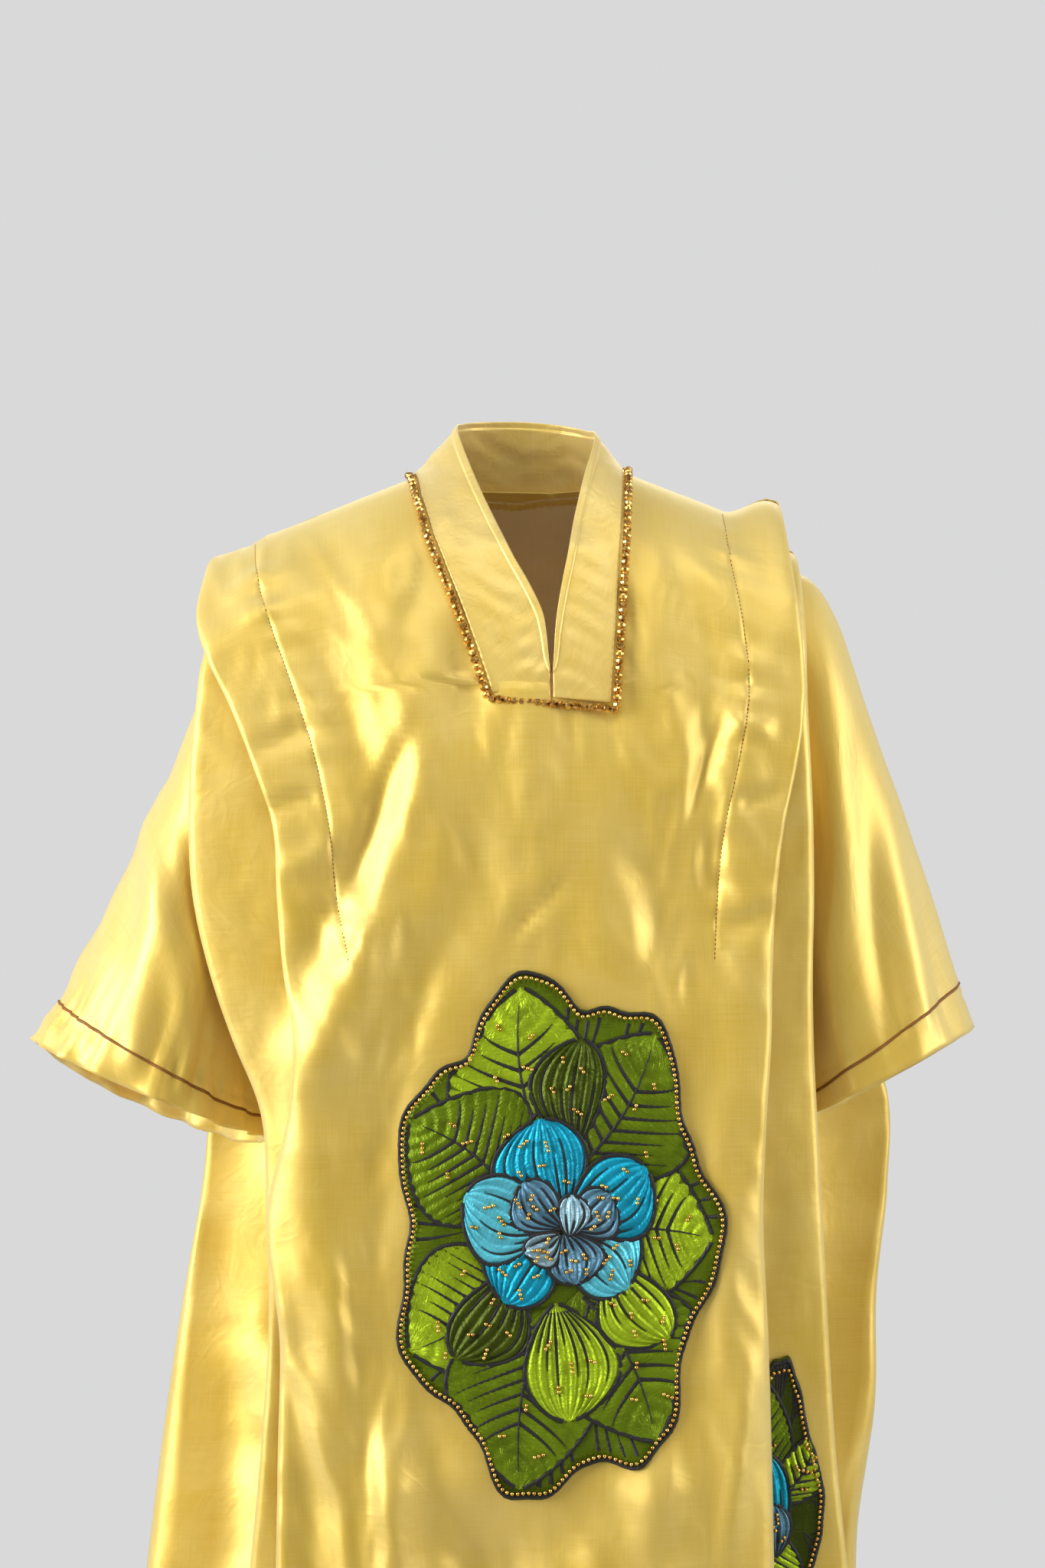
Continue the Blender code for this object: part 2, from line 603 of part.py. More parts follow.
def main():
    for item in list(bpy.data.objects):
        bpy.data.objects.remove(item)
    bpy.context.scene.collection.children.link(bpy.data.collections.new("kaftan"))
    front = build_panel("front", FRONT, FRONT_CUT)
    back = build_panel("back", BACK, BACK_CUT)
    build_sleeve("sleeve_left", LEFT)
    build_sleeve("sleeve_right", RIGHT)
    bpy.context.view_layer.update()
    front_tree = solid_tree(front)
    build_yoke(front_tree)
    build_beads((front_tree, solid_tree(back)))
    for patch in PATCHES:
        build_patch(patch, front_tree)


main()
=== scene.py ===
"""Looks of a full-length organza kaftan in its worn, hollow form.

The cloth is built as fine sheets on the same sections as the solids, with the creases placed one
by one. Units are metres, +Z is up, +Y points away from the camera and +X to the camera's right.
"""

from __future__ import annotations

import logging
import math
from dataclasses import dataclass, field
from enum import Enum, IntEnum
from typing import Callable, NamedTuple, Sequence

import bmesh
import bpy
import numpy as np
from mathutils import Matrix, Vector

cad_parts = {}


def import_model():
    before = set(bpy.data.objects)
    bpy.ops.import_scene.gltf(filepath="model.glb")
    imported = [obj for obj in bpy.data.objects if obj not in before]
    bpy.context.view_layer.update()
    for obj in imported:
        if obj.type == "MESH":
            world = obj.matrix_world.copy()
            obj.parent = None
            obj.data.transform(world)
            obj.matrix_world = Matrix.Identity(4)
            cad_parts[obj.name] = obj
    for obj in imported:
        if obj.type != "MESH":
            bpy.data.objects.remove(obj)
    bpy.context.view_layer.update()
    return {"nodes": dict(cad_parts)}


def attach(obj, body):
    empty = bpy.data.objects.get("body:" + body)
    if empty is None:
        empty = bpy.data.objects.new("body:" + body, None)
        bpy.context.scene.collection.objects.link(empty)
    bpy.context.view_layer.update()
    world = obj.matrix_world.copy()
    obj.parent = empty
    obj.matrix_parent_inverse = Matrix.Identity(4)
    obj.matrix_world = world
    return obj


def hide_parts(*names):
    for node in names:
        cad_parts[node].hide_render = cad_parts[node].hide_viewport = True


LOG = logging.getLogger("kaftan")
BODY = "root"
CLOTH_MAP = "cloth"             # UV map, in metres over the cut cloth
DYE = "dye"                     # colour attribute of the satin pieces
WELD = 1e-6                     # points nearer than this are one
LINE_SCALE = 0.314              # scale of Blender's wave texture for lines one metre apart
HEM_WIDTH = 0.030
LONG_FADE = 0.08                # length over which a long fold starts and ends

Array = np.ndarray
Real = np.ndarray | float
Colour = tuple[float, float, float]
Mesh = bmesh.types.BMesh
Piece = bpy.types.Object
Material = bpy.types.Material
Node = bpy.types.Node
Socket = bpy.types.NodeSocket


class Side(Enum):
    """Half of the garment, as the camera sees it."""

    LEFT = -1
    RIGHT = 1


class Face(Enum):
    """Panel of the body."""

    FRONT = -1
    BACK = 1


class Hold(Enum):
    """How a sheet of cloth is held."""

    HUNG = "hung"
    STRETCHED = "stretched"


class Seed(IntEnum):
    """Random set that each unevenness draws."""

    PANEL_SOFT = 3
    BEAD_ROW = 5
    PANEL_CRISP = 11
    LEAF_BEADS = 17
    SLEEVE = 21
    YOKE = 31
    LEAF_DYE = 41
    GROUND_DYE = 43


class Section(NamedTuple):
    """Widths of a body section: distances from x = 0."""

    level: float
    stitch: float
    fold: float
    side: float
    outline: float
    seam: float


class Depth(NamedTuple):
    """Depths of the body before and behind the shoulder ridge, and the free play of its pleats."""

    level: float
    front: float
    back: float
    gap: float
    notch: float


class NeckCut(NamedTuple):
    """Edges of the neck cut at a level."""

    level: float
    left: float
    right: float


class Ring(NamedTuple):
    """Sleeve ring: its outer line, its underarm line and half its depth."""

    outer_x: float
    outer_z: float
    inner_x: float
    inner_z: float
    depth: float


class Crease(NamedTuple):
    """Soft ridge of the cloth from end to end, or a trough where the height is below zero."""

    x0: float
    z0: float
    x1: float
    z1: float
    width: float
    height: float
    bow: float = 0.0
    skew: float = 0.0


class YokeRow(NamedTuple):
    """Section of the neck yoke, from the bead line on a panel to the neck edge."""

    face: Face
    outer_x: float
    outer_level: float
    inner_x: float
    inner_y: float | None
    inner_z: float


class Leaf(NamedTuple):
    """Satin leaf or petal of a patch, in metres from the patch's middle."""

    base_x: float
    base_z: float
    tip_x: float
    tip_z: float
    width: float
    bend: float
    dye: str
    veins: int
    order: int
    fan: bool = False

    def run(self) -> tuple[float, float, float]:
        """Its run across and up from base to tip, and its length."""
        across, up = self.tip_x - self.base_x, self.tip_z - self.base_z
        return across, up, math.hypot(across, up)

    def half_width(self, t: Array) -> Array:
        """Half its width at the share t of the way along it."""
        fullest, blunt = (1.25, 0.62) if self.fan else (0.85, 0.80)
        return 0.5 * self.width * np.sin(np.pi * np.clip(t, 0, 1) ** fullest) ** blunt


class Reach(NamedTuple):
    """Lengths of stitched lines, uneven from one line to the next."""

    mean: float
    swing: float
    rate: float

    def of(self, number: int, start: int = 0) -> float:
        """Length of one line."""
        return self.mean + self.swing * math.sin(self.rate * number + start)


class Patch(NamedTuple):
    """Flower patch: its middle, half sizes, the lobes of its edge and its leaves."""

    name: str
    x: float
    z: float
    half_width: float
    half_height: float
    lobes: int
    lobe_depth: float
    layer: int
    ground: str
    leaves: tuple[Leaf, ...]


class SoftBox(NamedTuple):
    """Soft light: its place, its width and height, and its power in watts."""

    name: str
    place: tuple[float, float, float]
    size: tuple[float, float]
    power: float


def rows(kind: type, *table: tuple) -> tuple:
    """Read a table that has its lengths in millimetres and its shares in thousandths.

    Args:
        kind: The kind of its rows.
        table: The values of each row.

    Returns:
        The rows, with lengths in metres and whole shares.
    """
    scaled = ["float" in str(told) for told in kind.__annotations__.values()]
    return tuple(kind(*(value / 1000 if small and value is not None else value
                        for value, small in zip(row, scaled))) for row in table)


# The tables give lengths in millimetres and shares in thousandths
SECTIONS = {
    Side.LEFT: rows(
        Section,
        (0, 242, 284, 266, 266, 258), (-50, 236, 289, 276, 274, 257), (-120, 220, 277, 284, 280, 255),
        (-180, 202, 258, 288, 284, 253), (-250, 182, 236, 292, 286, 250),
        (-310, 170, 218, 293, 286, 248), (-380, 163, 214, 289, 284, 237),
        (-440, 150, 209, 276, 284, 227), (-500, 142, 200, 256, 288, 218),
        (-560, 140, 204, 232, 295, 210), (-650, 150, 223, 226, 302, 203),
        (-750, 150, 212, 224, 318, 203), (-850, 150, 213, 230, 333, 208),
        (-980, 150, 215, 242, 348, 214), (-1200, 155, 225, 262, 368, 225),
        (-1440, 165, 240, 285, 385, 235),
    ),
    Side.RIGHT: rows(
        Section,
        (0, 173, 226, 240, 240, 232), (-50, 177, 232, 242, 242, 232), (-120, 187, 238, 243, 245, 231),
        (-180, 191, 239, 243, 247, 230), (-250, 182, 231, 245, 247, 229),
        (-310, 170, 220, 247, 248, 227), (-380, 163, 213, 248, 252, 217),
        (-440, 160, 210, 247, 272, 211), (-500, 155, 209, 248, 308, 209),
        (-560, 150, 205, 251, 334, 210), (-650, 148, 202, 256, 336, 210),
        (-750, 150, 206, 261, 325, 212), (-850, 150, 209, 267, 323, 216),
        (-980, 152, 211, 280, 306, 220), (-1200, 155, 220, 300, 322, 230),
        (-1440, 165, 235, 322, 350, 242),
    ),
}
DEPTHS = rows(
    Depth,
    (0, 70, 70, 7, 0), (-60, 88, 92, 7, 0), (-120, 112, 116, 8, 0), (-200, 138, 137, 8, 0),
    (-270, 152, 146, 8, 0), (-380, 152, 162, 9, 5), (-440, 152, 174, 10, 10), (-550, 152, 204, 13, 20),
    (-750, 160, 214, 18, 28), (-1000, 172, 222, 22, 30), (-1440, 190, 238, 28, 30),
)
SHOULDERS = (
    (-0.300, -0.110), (-0.262, -0.085), (-0.242, -0.062), (-0.101, -0.006), (-0.050, 0.004),
    (0.020, 0.008), (0.077, 0.002), (0.173, -0.035), (0.232, -0.066), (0.270, -0.090),
)
FRONT_CUT = rows(
    NeckCut,
    (0, -94, 78), (-50, -80, 73), (-100, -62, 66), (-150, -44, 58), (-190, -30, 55),
)
BACK_CUT = rows(
    NeckCut,
    (0, -94, 78), (-7, -78, 68), (-22, -40, 50),
)

# The largest folds, which the solids have too
FOLDS = {
    Face.FRONT: rows(
        Crease,
        (-88, -222, -119, -379, 20, 10), (-119, -379, -190, -536, 28, 22),
        (-150, -330, -186, -440, 16, -8), (-190, -560, -172, -860, 30, 12),
        (-200, -730, -140, -1600, 20, -14), (-118, -860, -112, -1600, 22, 16),
        (-35, -905, -30, -1600, 55, -30), (35, -220, 38, -430, 20, -5), (150, -200, 160, -378, 14, -7),
        (110, -850, 118, -1600, 32, 18), (175, -520, 180, -1600, 24, 10),
    ),
    Face.BACK: rows(
        Crease,
        (20, -180, 22, -1600, 40, 14), (-60, -330, -75, -1600, 34, -20), (95, -300, 110, -1600, 34, -18),
        (-130, -450, -150, -1600, 30, 14), (150, -500, 170, -1600, 26, 12),
    ),
}

# Smaller creases of the outer layer, placed one by one
CREASES = {
    Face.FRONT: rows(
        Crease,
        (-124, -378, -156, -422, 7, -3, 4, 400), (-94, -228, -150, -375, 13, -5.6, 3, -300),
        (-232, -250, -190, -226, 9, -2.8, 3), (-222, -304, -178, -288, 8, -3.4, -3, 300),
        (-212, -352, -170, -334, 9, 2.8, 3), (176, -222, 208, -234, 9, 2.6, 3),
        (182, -300, 216, -288, 8, -3, -3), (170, -404, 210, -384, 10, -3.4, 3, 300),
        (27, -362, -12, -404, 6, -2.6, -3, -300), (168, -231, 140, -305, 7, -2.6, 3),
        (-60, -240, -20, -330, 16, 2.2, 6), (-150, -120, -100, -240, 20, 2.8, -8, 300),
        (-190, -150, -130, -300, 14, -2.2, -6), (105, -120, 140, -260, 18, 2.6, 6),
        (125, -80, 165, -190, 11, -2, -4), (70, -225, 120, -290, 13, 2.2, 3),
        (-35, -214, -32, -262, 6, 1.8), (-12, -214, -16, -250, 5, -1.5), (46, -216, 50, -262, 6, 1.6),
        (66, -216, 78, -256, 6, -1.6), (-70, -400, -100, -520, 18, -3, 8),
        (90, -330, 120, -450, 20, -2.8, -8), (130, -420, 100, -540, 13, 2.4, 5),
        (-110, -560, -130, -700, 14, -2.6, -6), (-165, -690, -145, -820, 10, 2.4, 4, 300),
        (-150, -790, -128, -960, 9, -2.4, -5), (-210, -726, -158, -893, 10, 3.4, 4, -300),
        (-158, -893, -150, -1060, 10, 3, -2), (176, -600, 150, -760, 12, -2.6, 6),
        (190, -760, 168, -930, 10, 2.6, -4), (130, -900, 90, -1050, 16, -3.4, 6, 300),
        (60, -910, 40, -1100, 18, 4, -6), (-70, -930, -50, -1120, 14, 3.4, 5),
        (-10, -960, 10, -1180, 13, -3, -4), (-90, -1080, -75, -1300, 16, -3.6, 5),
        (80, -1120, 66, -1340, 16, 3.6, -5), (150, -1050, 140, -1280, 14, -3.2, 5),
        (-180, -1120, -170, -1350, 13, 3.2, 4), (-20, -1180, -30, -1400, 18, 4, 4),
    ),
    Face.BACK: rows(
        Crease,
        (-130, -110, -60, -300, 22, 3.4, 10), (150, -100, 80, -290, 22, 3.4, -10),
        (-180, -220, -120, -360, 14, -2.6, 6), (160, -230, 120, -360, 14, -2.6, -6),
        (20, -60, 30, -180, 18, -2.4, 4), (-30, -120, -16, -260, 14, 2.2, -4),
        (-160, -480, -110, -620, 16, -3, 6), (140, -520, 100, -680, 16, 3, -6),
        (-30, -560, -10, -760, 18, 3.2, 6), (60, -600, 46, -820, 14, -3, -5),
        (-110, -780, -90, -1000, 16, 3.4, 6), (150, -820, 130, -1050, 16, -3.2, -6),
        (10, -900, 0, -1150, 20, -3.6, 6), (-170, -1020, -150, -1280, 16, -3.4, 5),
        (90, -1080, 80, -1350, 18, 3.8, -5), (-40, -1160, -50, -1400, 18, -3.6, 5),
        (262, -580, 235, -800, 18, 10, 8), (290, -700, 262, -940, 16, -10, 8),
        (246, -860, 284, -1060, 15, 10, -6), (262, -1020, 240, -1300, 18, 9, 6),
        (-262, -640, -225, -860, 18, 10, 8), (-290, -780, -250, -1000, 16, -9, 8),
        (-235, -930, -280, -1180, 17, 10, -6),
    ),
}

SLEEVE_RINGS = {
    Side.LEFT: rows(
        Ring,
        (258, -101, 247, -345, 70), (266, -122, 255, -388, 73), (273, -154, 257, -422, 77),
        (285, -195, 255, -456, 82), (309, -254, 251, -487, 87), (339, -310, 246, -515, 92),
        (376, -388, 241, -546, 98), (413, -458, 237, -572, 103), (440, -510, 234, -596, 108),
    ),
    Side.RIGHT: rows(
        Ring,
        (232, -84, 226, -345, 70), (257, -101, 236, -385, 73), (275, -130, 240, -418, 77),
        (289, -169, 240, -448, 82), (303, -226, 239, -478, 87), (325, -288, 238, -507, 92),
        (357, -373, 237, -536, 97), (381, -442, 238, -560, 102), (400, -498, 239, -582, 107),
    ),
}

YOKE_ROWS = rows(
    YokeRow,
    (Face.FRONT, 20.3, -208, 19.3, None, -178), (Face.FRONT, -4, -206, 18, None, -166),
    (Face.FRONT, -30, -203, 16.5, None, -150), (Face.FRONT, -41, -170, 13, None, -131),
    (Face.FRONT, -54, -133, 2, None, -107), (Face.FRONT, -68, -96, -12, None, -82),
    (Face.FRONT, -82, -60, -27, -78, -52), (Face.FRONT, -93, -24, -44, -50, -14),
    (Face.FRONT, -101, 0, -61, -10, 34), (Face.BACK, -90, -12, -56, 22, 44),
    (Face.BACK, -58, -26, -36, 42, 48), (Face.BACK, -8, -31, -3, 50, 49),
    (Face.BACK, 43, -26, 30, 43, 45), (Face.BACK, 75, -12, 52, 24, 38),
    (Face.FRONT, 85.5, 0, 60, -8, 30), (Face.FRONT, 84, -24, 50, -48, -10),
    (Face.FRONT, 82, -60, 41, -76, -50), (Face.FRONT, 79, -98, 35, None, -82),
    (Face.FRONT, 76.5, -136, 30, None, -107), (Face.FRONT, 74, -174, 26, None, -131),
    (Face.FRONT, 71.5, -211, 24, None, -150), (Face.FRONT, 46, -209.5, 23.2, None, -166),
    (Face.FRONT, 21.7, -208, 22.3, None, -178),
)

PATCHES = rows(
    Patch,
    ("applique_front", 24, -665, 135, 215, 7, 75, 0, "moss", rows(
        Leaf,
        (28, 4, 134, -2, 128, 50, "lime", 7, 1), (14, 52, 86, 172, 132, -80, "moss", 7, 2),
        (-4, 60, -30, 212, 128, 80, "lime", 7, 1), (-34, 32, -124, 98, 130, -80, "moss", 7, 2),
        (-30, -30, -124, -98, 132, 80, "lime", 7, 1), (-8, -60, -31, -214, 132, -60, "moss", 8, 2),
        (20, -46, 86, -172, 132, 80, "moss", 7, 3), (16, 74, 22, 168, 64, 100, "olive", 6, 3, True),
        (-36, -30, -84, -104, 66, 120, "olive", 6, 3, True),
        (46, -24, 96, -88, 64, -120, "lime", 6, 4, True), (0, -56, 12, -156, 82, 80, "lime", 8, 4, True),
        (6, 16, -14, 100, 82, 100, "turquoise", 8, 5, True),
        (12, 12, 78, 58, 74, -100, "turquoise", 7, 6, True), (0, 8, -78, 34, 76, 120, "sky", 7, 6, True),
        (0, 2, -44, -56, 70, -120, "turquoise", 7, 5, True),
        (12, 0, 62, -44, 70, 120, "sky", 7, 5, True), (6, 8, -28, 46, 46, 140, "slate", 5, 7, True),
        (12, 8, 48, 36, 46, -140, "slate", 5, 7, True), (8, 4, 18, -40, 50, 100, "slate", 5, 7, True),
        (4, 2, -26, -14, 30, 160, "mist", 3, 8, True), (12, 0, 14, 36, 28, -100, "mist", 3, 8, True),
    )),
    ("applique_side_left", -204, -1100, 26, 140, 5, 80, 2, "moss", rows(
        Leaf,
        (0, 20, -3, 134, 44, 60, "lime", 7, 1), (0, -20, 4, -134, 46, -60, "olive", 7, 1),
        (2, -34, -4, 56, 42, 80, "turquoise", 5, 2, True), (0, -40, 2, 0, 24, 0, "slate", 3, 3, True),
    )),
    ("applique_side_right", 212, -905, 42, 125, 5, 80, 2, "olive", rows(
        Leaf,
        (4, 20, -14, 118, 60, 100, "moss", 7, 1), (-4, -20, 14, -118, 66, -100, "lime", 7, 1),
        (0, 4, 38, 64, 40, -120, "lime", 5, 2), (4, -40, -10, 48, 56, 100, "turquoise", 6, 3, True),
        (2, -42, 0, 4, 30, 0, "slate", 4, 4, True),
    )),
)

SLEEVE_CREASES = {
    Side.LEFT: rows(
        Crease,
        (-280, -200, -330, -500, 20, 4, 6), (-300, -300, -400, -480, 22, -4, 8),
        (-330, -330, -345, -520, 16, 3.6, -6), (-290, -420, -300, -560, 14, 3, 4),
        (-268, -220, -290, -400, 14, -3, 4), (-372, -420, -392, -520, 12, 2.6, 3),
    ),
    Side.RIGHT: rows(
        Crease,
        (262, -160, 290, -480, 16, 4, 5), (290, -200, 345, -500, 16, 4.4, -6),
        (300, -300, 320, -520, 14, -3.6, 4), (270, -360, 272, -540, 12, 3, 4),
        (330, -330, 375, -500, 13, -3, 4),
    ),
}

DYES: dict[str, Colour] = {
    "olive": (0.060, 0.085, 0.004), "moss": (0.160, 0.240, 0.006), "lime": (0.370, 0.520, 0.015),
    "turquoise": (0.010, 0.360, 0.530), "sky": (0.120, 0.580, 0.700), "slate": (0.120, 0.270, 0.380),
    "mist": (0.320, 0.520, 0.610),
}
PALE = (0.72, 0.72, 0.72)
BLACK_THREAD = (0.014, 0.012, 0.011)
ORANGE_THREAD = (0.4019778, 0.0975873, 0.0030353)
BROWN_THREAD = (0.3419144, 0.1221388, 0.0080232)


def ease(t: Real) -> Real:
    """Smooth step from 0 to 1."""
    t = np.clip(t, 0.0, 1.0)
    return t * t * (3 - 2 * t)


def mix(a: Real, b: Real, t: Real) -> Real:
    """Value between a and b at the share t."""
    return a + (b - a) * t


def shares(count: int) -> Array:
    """A row of even shares that ends at 1 and leaves out 0."""
    return (np.arange(1, count + 1) / count)[None, :]


def bell(distance: Real, width: Real) -> Array:
    """Bell curve of height 1 round a distance of zero."""
    return np.exp(-(distance / width) ** 2)


def hermite(start: Array, end: Array, start_slope: Array, end_slope: Array, t: Array) -> Array:
    """Smooth curve between two values with given slopes.

    Args:
        start: Value where t is 0.
        end: Value where t is 1.
        start_slope: Slope where t is 0.
        end_slope: Slope where t is 1.
        t: Share of the way.

    Returns:
        The curve's values.
    """
    return ((1 + 2 * t) * (1 - t) ** 2 * start + t * (1 - t) ** 2 * start_slope
            + t * t * (3 - 2 * t) * end + t * t * (t - 1) * end_slope)


def ripple(u: Array, v: Array, size: float, seed: int) -> Array:
    """Uneven soft waves from a few plane waves, between about -1 and 1.

    Args:
        u: First coordinate, in metres.
        v: Second coordinate, in metres.
        size: Mean length of a wave.
        seed: Which set of waves.

    Returns:
        Height of the waves at each point.
    """
    waves, peak = 6, 3.2
    sway, sway_rate, sway_start = 0.35, 2.1, 6.3
    shortest, longest = 0.6, 1.7
    draw = np.random.default_rng(seed)
    warp = sway * size * np.sin(sway_rate * u / size + draw.uniform(0, sway_start))
    total = np.zeros(np.broadcast(u, v).shape)
    for _ in range(waves):
        turn, phase = draw.uniform(0, 2 * math.pi, 2)
        wave = 2 * math.pi / (size * draw.uniform(shortest, longest))
        total = total + np.sin(wave * (math.cos(turn) * (u + warp) + math.sin(turn) * (v - warp)) + phase)
    return total / peak


def relief(creases: Sequence[Crease], x: Array, z: Array, fade: float = LONG_FADE) -> Array:
    """Lift of the cloth by creases.

    Args:
        creases: The creases.
        x: Places across.
        z: Heights.
        fade: Length over which a long crease starts and ends.

    Returns:
        Height of the creases at each point.
    """
    most_fade = 0.6
    total = np.zeros(np.broadcast(x, z).shape)
    for crease in creases:
        run_x, run_z = crease.x1 - crease.x0, crease.z1 - crease.z0
        length = math.hypot(run_x, run_z)
        along = ((x - crease.x0) * run_x + (z - crease.z0) * run_z) / length
        across = ((x - crease.x0) * run_z - (z - crease.z0) * run_x) / length
        across = across - crease.bow * np.sin(np.pi * np.clip(along / length, 0, 1))
        width = crease.width * (1 + crease.skew * np.tanh(across / crease.width))
        end = min(fade, most_fade * length)
        share = ease(along / end + 0.5) * ease((length - along) / end + 0.5)
        total += crease.height * share * bell(across, width)
    return total


def through(keys: Array, places: Array) -> Array:
    """Smooth curve through rows of keys, read at fractional places.

    Args:
        keys: Rows of values.
        places: Places, from 0 to the number of the last row.

    Returns:
        A row of values for each place.
    """
    slopes = np.gradient(keys, axis=0)
    i = np.minimum(places.astype(int), len(keys) - 2)
    t = (places - i).reshape((-1,) + (1,) * (keys.ndim - 1))
    return hermite(keys[i], keys[i + 1], slopes[i], slopes[i + 1], t)


class Profile:
    """Smooth curve through the rows of a size table, read at any level."""

    def __init__(self, table: Sequence[NamedTuple]) -> None:
        """Keep the table's places, values and slopes.

        Args:
            table: The table, with the level first in each row.
        """
        self.kind = type(table[0])
        self.places = -np.array([row[0] for row in table])
        self.values = np.array([row[1:] for row in table], dtype=float)
        self.slopes = np.gradient(self.values, self.places, axis=0)

    def at(self, level: Array) -> NamedTuple:
        """Read the table.

        Args:
            level: Levels, in an array of any shape.

        Returns:
            A row of the table's own kind whose fields are arrays of that shape.
        """
        place = np.clip(-np.asarray(level, dtype=float), self.places[0], self.places[-1])
        i = np.clip(np.searchsorted(self.places, place) - 1, 0, len(self.places) - 2)
        span = (self.places[i + 1] - self.places[i])[..., None]
        t = (place - self.places[i])[..., None] / span
        slopes = span * self.slopes[i], span * self.slopes[i + 1]
        value = hermite(self.values[i], self.values[i + 1], *slopes, t)
        return self.kind(level, *np.moveaxis(value, -1, 0))


def unit(vectors: Array) -> Array:
    """Vectors brought to a length of 1."""
    return vectors / np.maximum(np.linalg.norm(vectors, axis=-1, keepdims=True), 1e-12)


def normals_of(points: Array) -> Array:
    """Unit normals of a grid of points, along its rows crossed with down its columns."""
    return unit(np.cross(np.gradient(points, axis=1), np.gradient(points, axis=0)))


def distances(line: Array) -> Array:
    """Distance of each point of a line from its start."""
    return np.concatenate([[0.0], np.cumsum(np.linalg.norm(np.diff(line, axis=0), axis=1))])


def on_line(line: Array, places: Array) -> Array:
    """Points at distances along a line."""
    length = distances(line)
    return np.stack([np.interp(places, length, column) for column in line.T], axis=-1)


def cloth_map(points: Array, start: int | None = None) -> Array:
    """Flat place of each grid point, in metres: distance across its row and down its column.

    Args:
        points: Grid of points.
        start: Column where the distance across is zero, the middle one if left out.

    Returns:
        The flat places.
    """
    start = points.shape[1] // 2 if start is None else start
    across = np.cumsum(np.linalg.norm(np.diff(points, axis=1, prepend=points[:, :1]), axis=2), axis=1)
    across -= across[:, start][:, None]
    steps = np.quantile(np.linalg.norm(np.diff(points, axis=0, prepend=points[:1]), axis=2), 0.3, axis=1)
    down = np.repeat(np.cumsum(steps)[:, None], points.shape[1], axis=1)
    return np.stack([across, -down], axis=2)


def grid_mesh(points: Array, flat: Array | None = None, dyes: Array | None = None) -> Mesh:
    """Sheet through a grid of points, with its cut cloth as a UV map.

    Args:
        points: Places, as rows, columns and x, y, z.
        flat: Places on the cut cloth, worked out from the points if left out.
        dyes: Colours at the points, for a dyed piece.

    Returns:
        The sheet.
    """
    height, width = points.shape[:2]
    flat = cloth_map(points) if flat is None else flat
    bm = bmesh.new()
    bmesh.ops.create_grid(bm, x_segments=width - 1, y_segments=height - 1, size=0.5)
    uv = bm.loops.layers.uv.new(CLOTH_MAP)
    dye = bm.verts.layers.float_color.new(DYE) if dyes is not None else None
    spot = {}
    for vert in bm.verts:
        place = round((vert.co.y + 0.5) * (height - 1)), round((vert.co.x + 0.5) * (width - 1))
        spot[vert] = place
        vert.co = points[place]
        if dye is not None:
            vert[dye] = (*dyes[place], 1.0)
    for face in bm.faces:
        for loop in face.loops:
            loop[uv].uv = flat[spot[loop.vert]]
    return bm


def welded(bm: Mesh) -> Mesh:
    """Close the seam of a tube and turn its faces outwards.

    Args:
        bm: The tube.

    Returns:
        The same tube.
    """
    bmesh.ops.remove_doubles(bm, verts=bm.verts, dist=WELD)
    bmesh.ops.recalc_face_normals(bm, faces=bm.faces)
    return bm


def joined(parts: Sequence[Mesh], weld: float = 0.0) -> Mesh:
    """Put several sheets in one.

    Args:
        parts: The sheets, which are used up.
        weld: Distance within which their points are merged, none if zero.

    Returns:
        The one sheet.
    """
    whole = bmesh.new()
    for part in parts:
        mesh = bpy.data.meshes.new("part")
        part.to_mesh(mesh)
        part.free()
        whole.from_mesh(mesh)
        bpy.data.meshes.remove(mesh)
    if weld:
        bmesh.ops.remove_doubles(whole, verts=whole.verts, dist=weld)
    return whole


def copies(rings: int, radius: float, places: Sequence[Matrix], segments: int = 8) -> Mesh:
    """Many copies of a bead in one mesh.

    Args:
        rings: Rows of faces from pole to pole.
        radius: Its radius, before each place's own scale.
        places: Where each copy lies.
        segments: Sides round the bead.

    Returns:
        All the beads.
    """
    bead = bmesh.new()
    bmesh.ops.create_uvsphere(bead, u_segments=segments, v_segments=rings, radius=radius)
    bead.verts.index_update()
    corners = np.array([(*vert.co, 1.0) for vert in bead.verts])
    faces = [[vert.index for vert in face.verts] for face in bead.faces]
    bead.free()
    points = np.concatenate([corners @ np.array(place).T for place in places])[:, :3]
    mesh = bpy.data.meshes.new("beads")
    mesh.from_pydata(points.tolist(), [], [[corner + i * len(corners) for corner in face]
                                           for i in range(len(places)) for face in faces])
    whole = bmesh.new()
    whole.from_mesh(mesh)
    bpy.data.meshes.remove(mesh)
    return whole


def aimed(place: Array, along: Array) -> Matrix:
    """Matrix that puts a shape in a place with its own Z along a direction."""
    return Matrix.Translation(place) @ Vector(along).to_track_quat("Z", "Y").to_matrix().to_4x4()


def in_scene(name: str, data: bpy.types.ID | Mesh) -> Piece:
    """Put an object in the scene.

    Args:
        name: The object's name.
        data: Its camera, light or mesh. A mesh under work is used up.

    Returns:
        The object.
    """
    if isinstance(data, Mesh):
        bm, data = data, bpy.data.meshes.new(name)
        bm.to_mesh(data)
        bm.free()
    made = bpy.data.objects.new(name, data)
    bpy.context.scene.collection.objects.link(made)
    return made


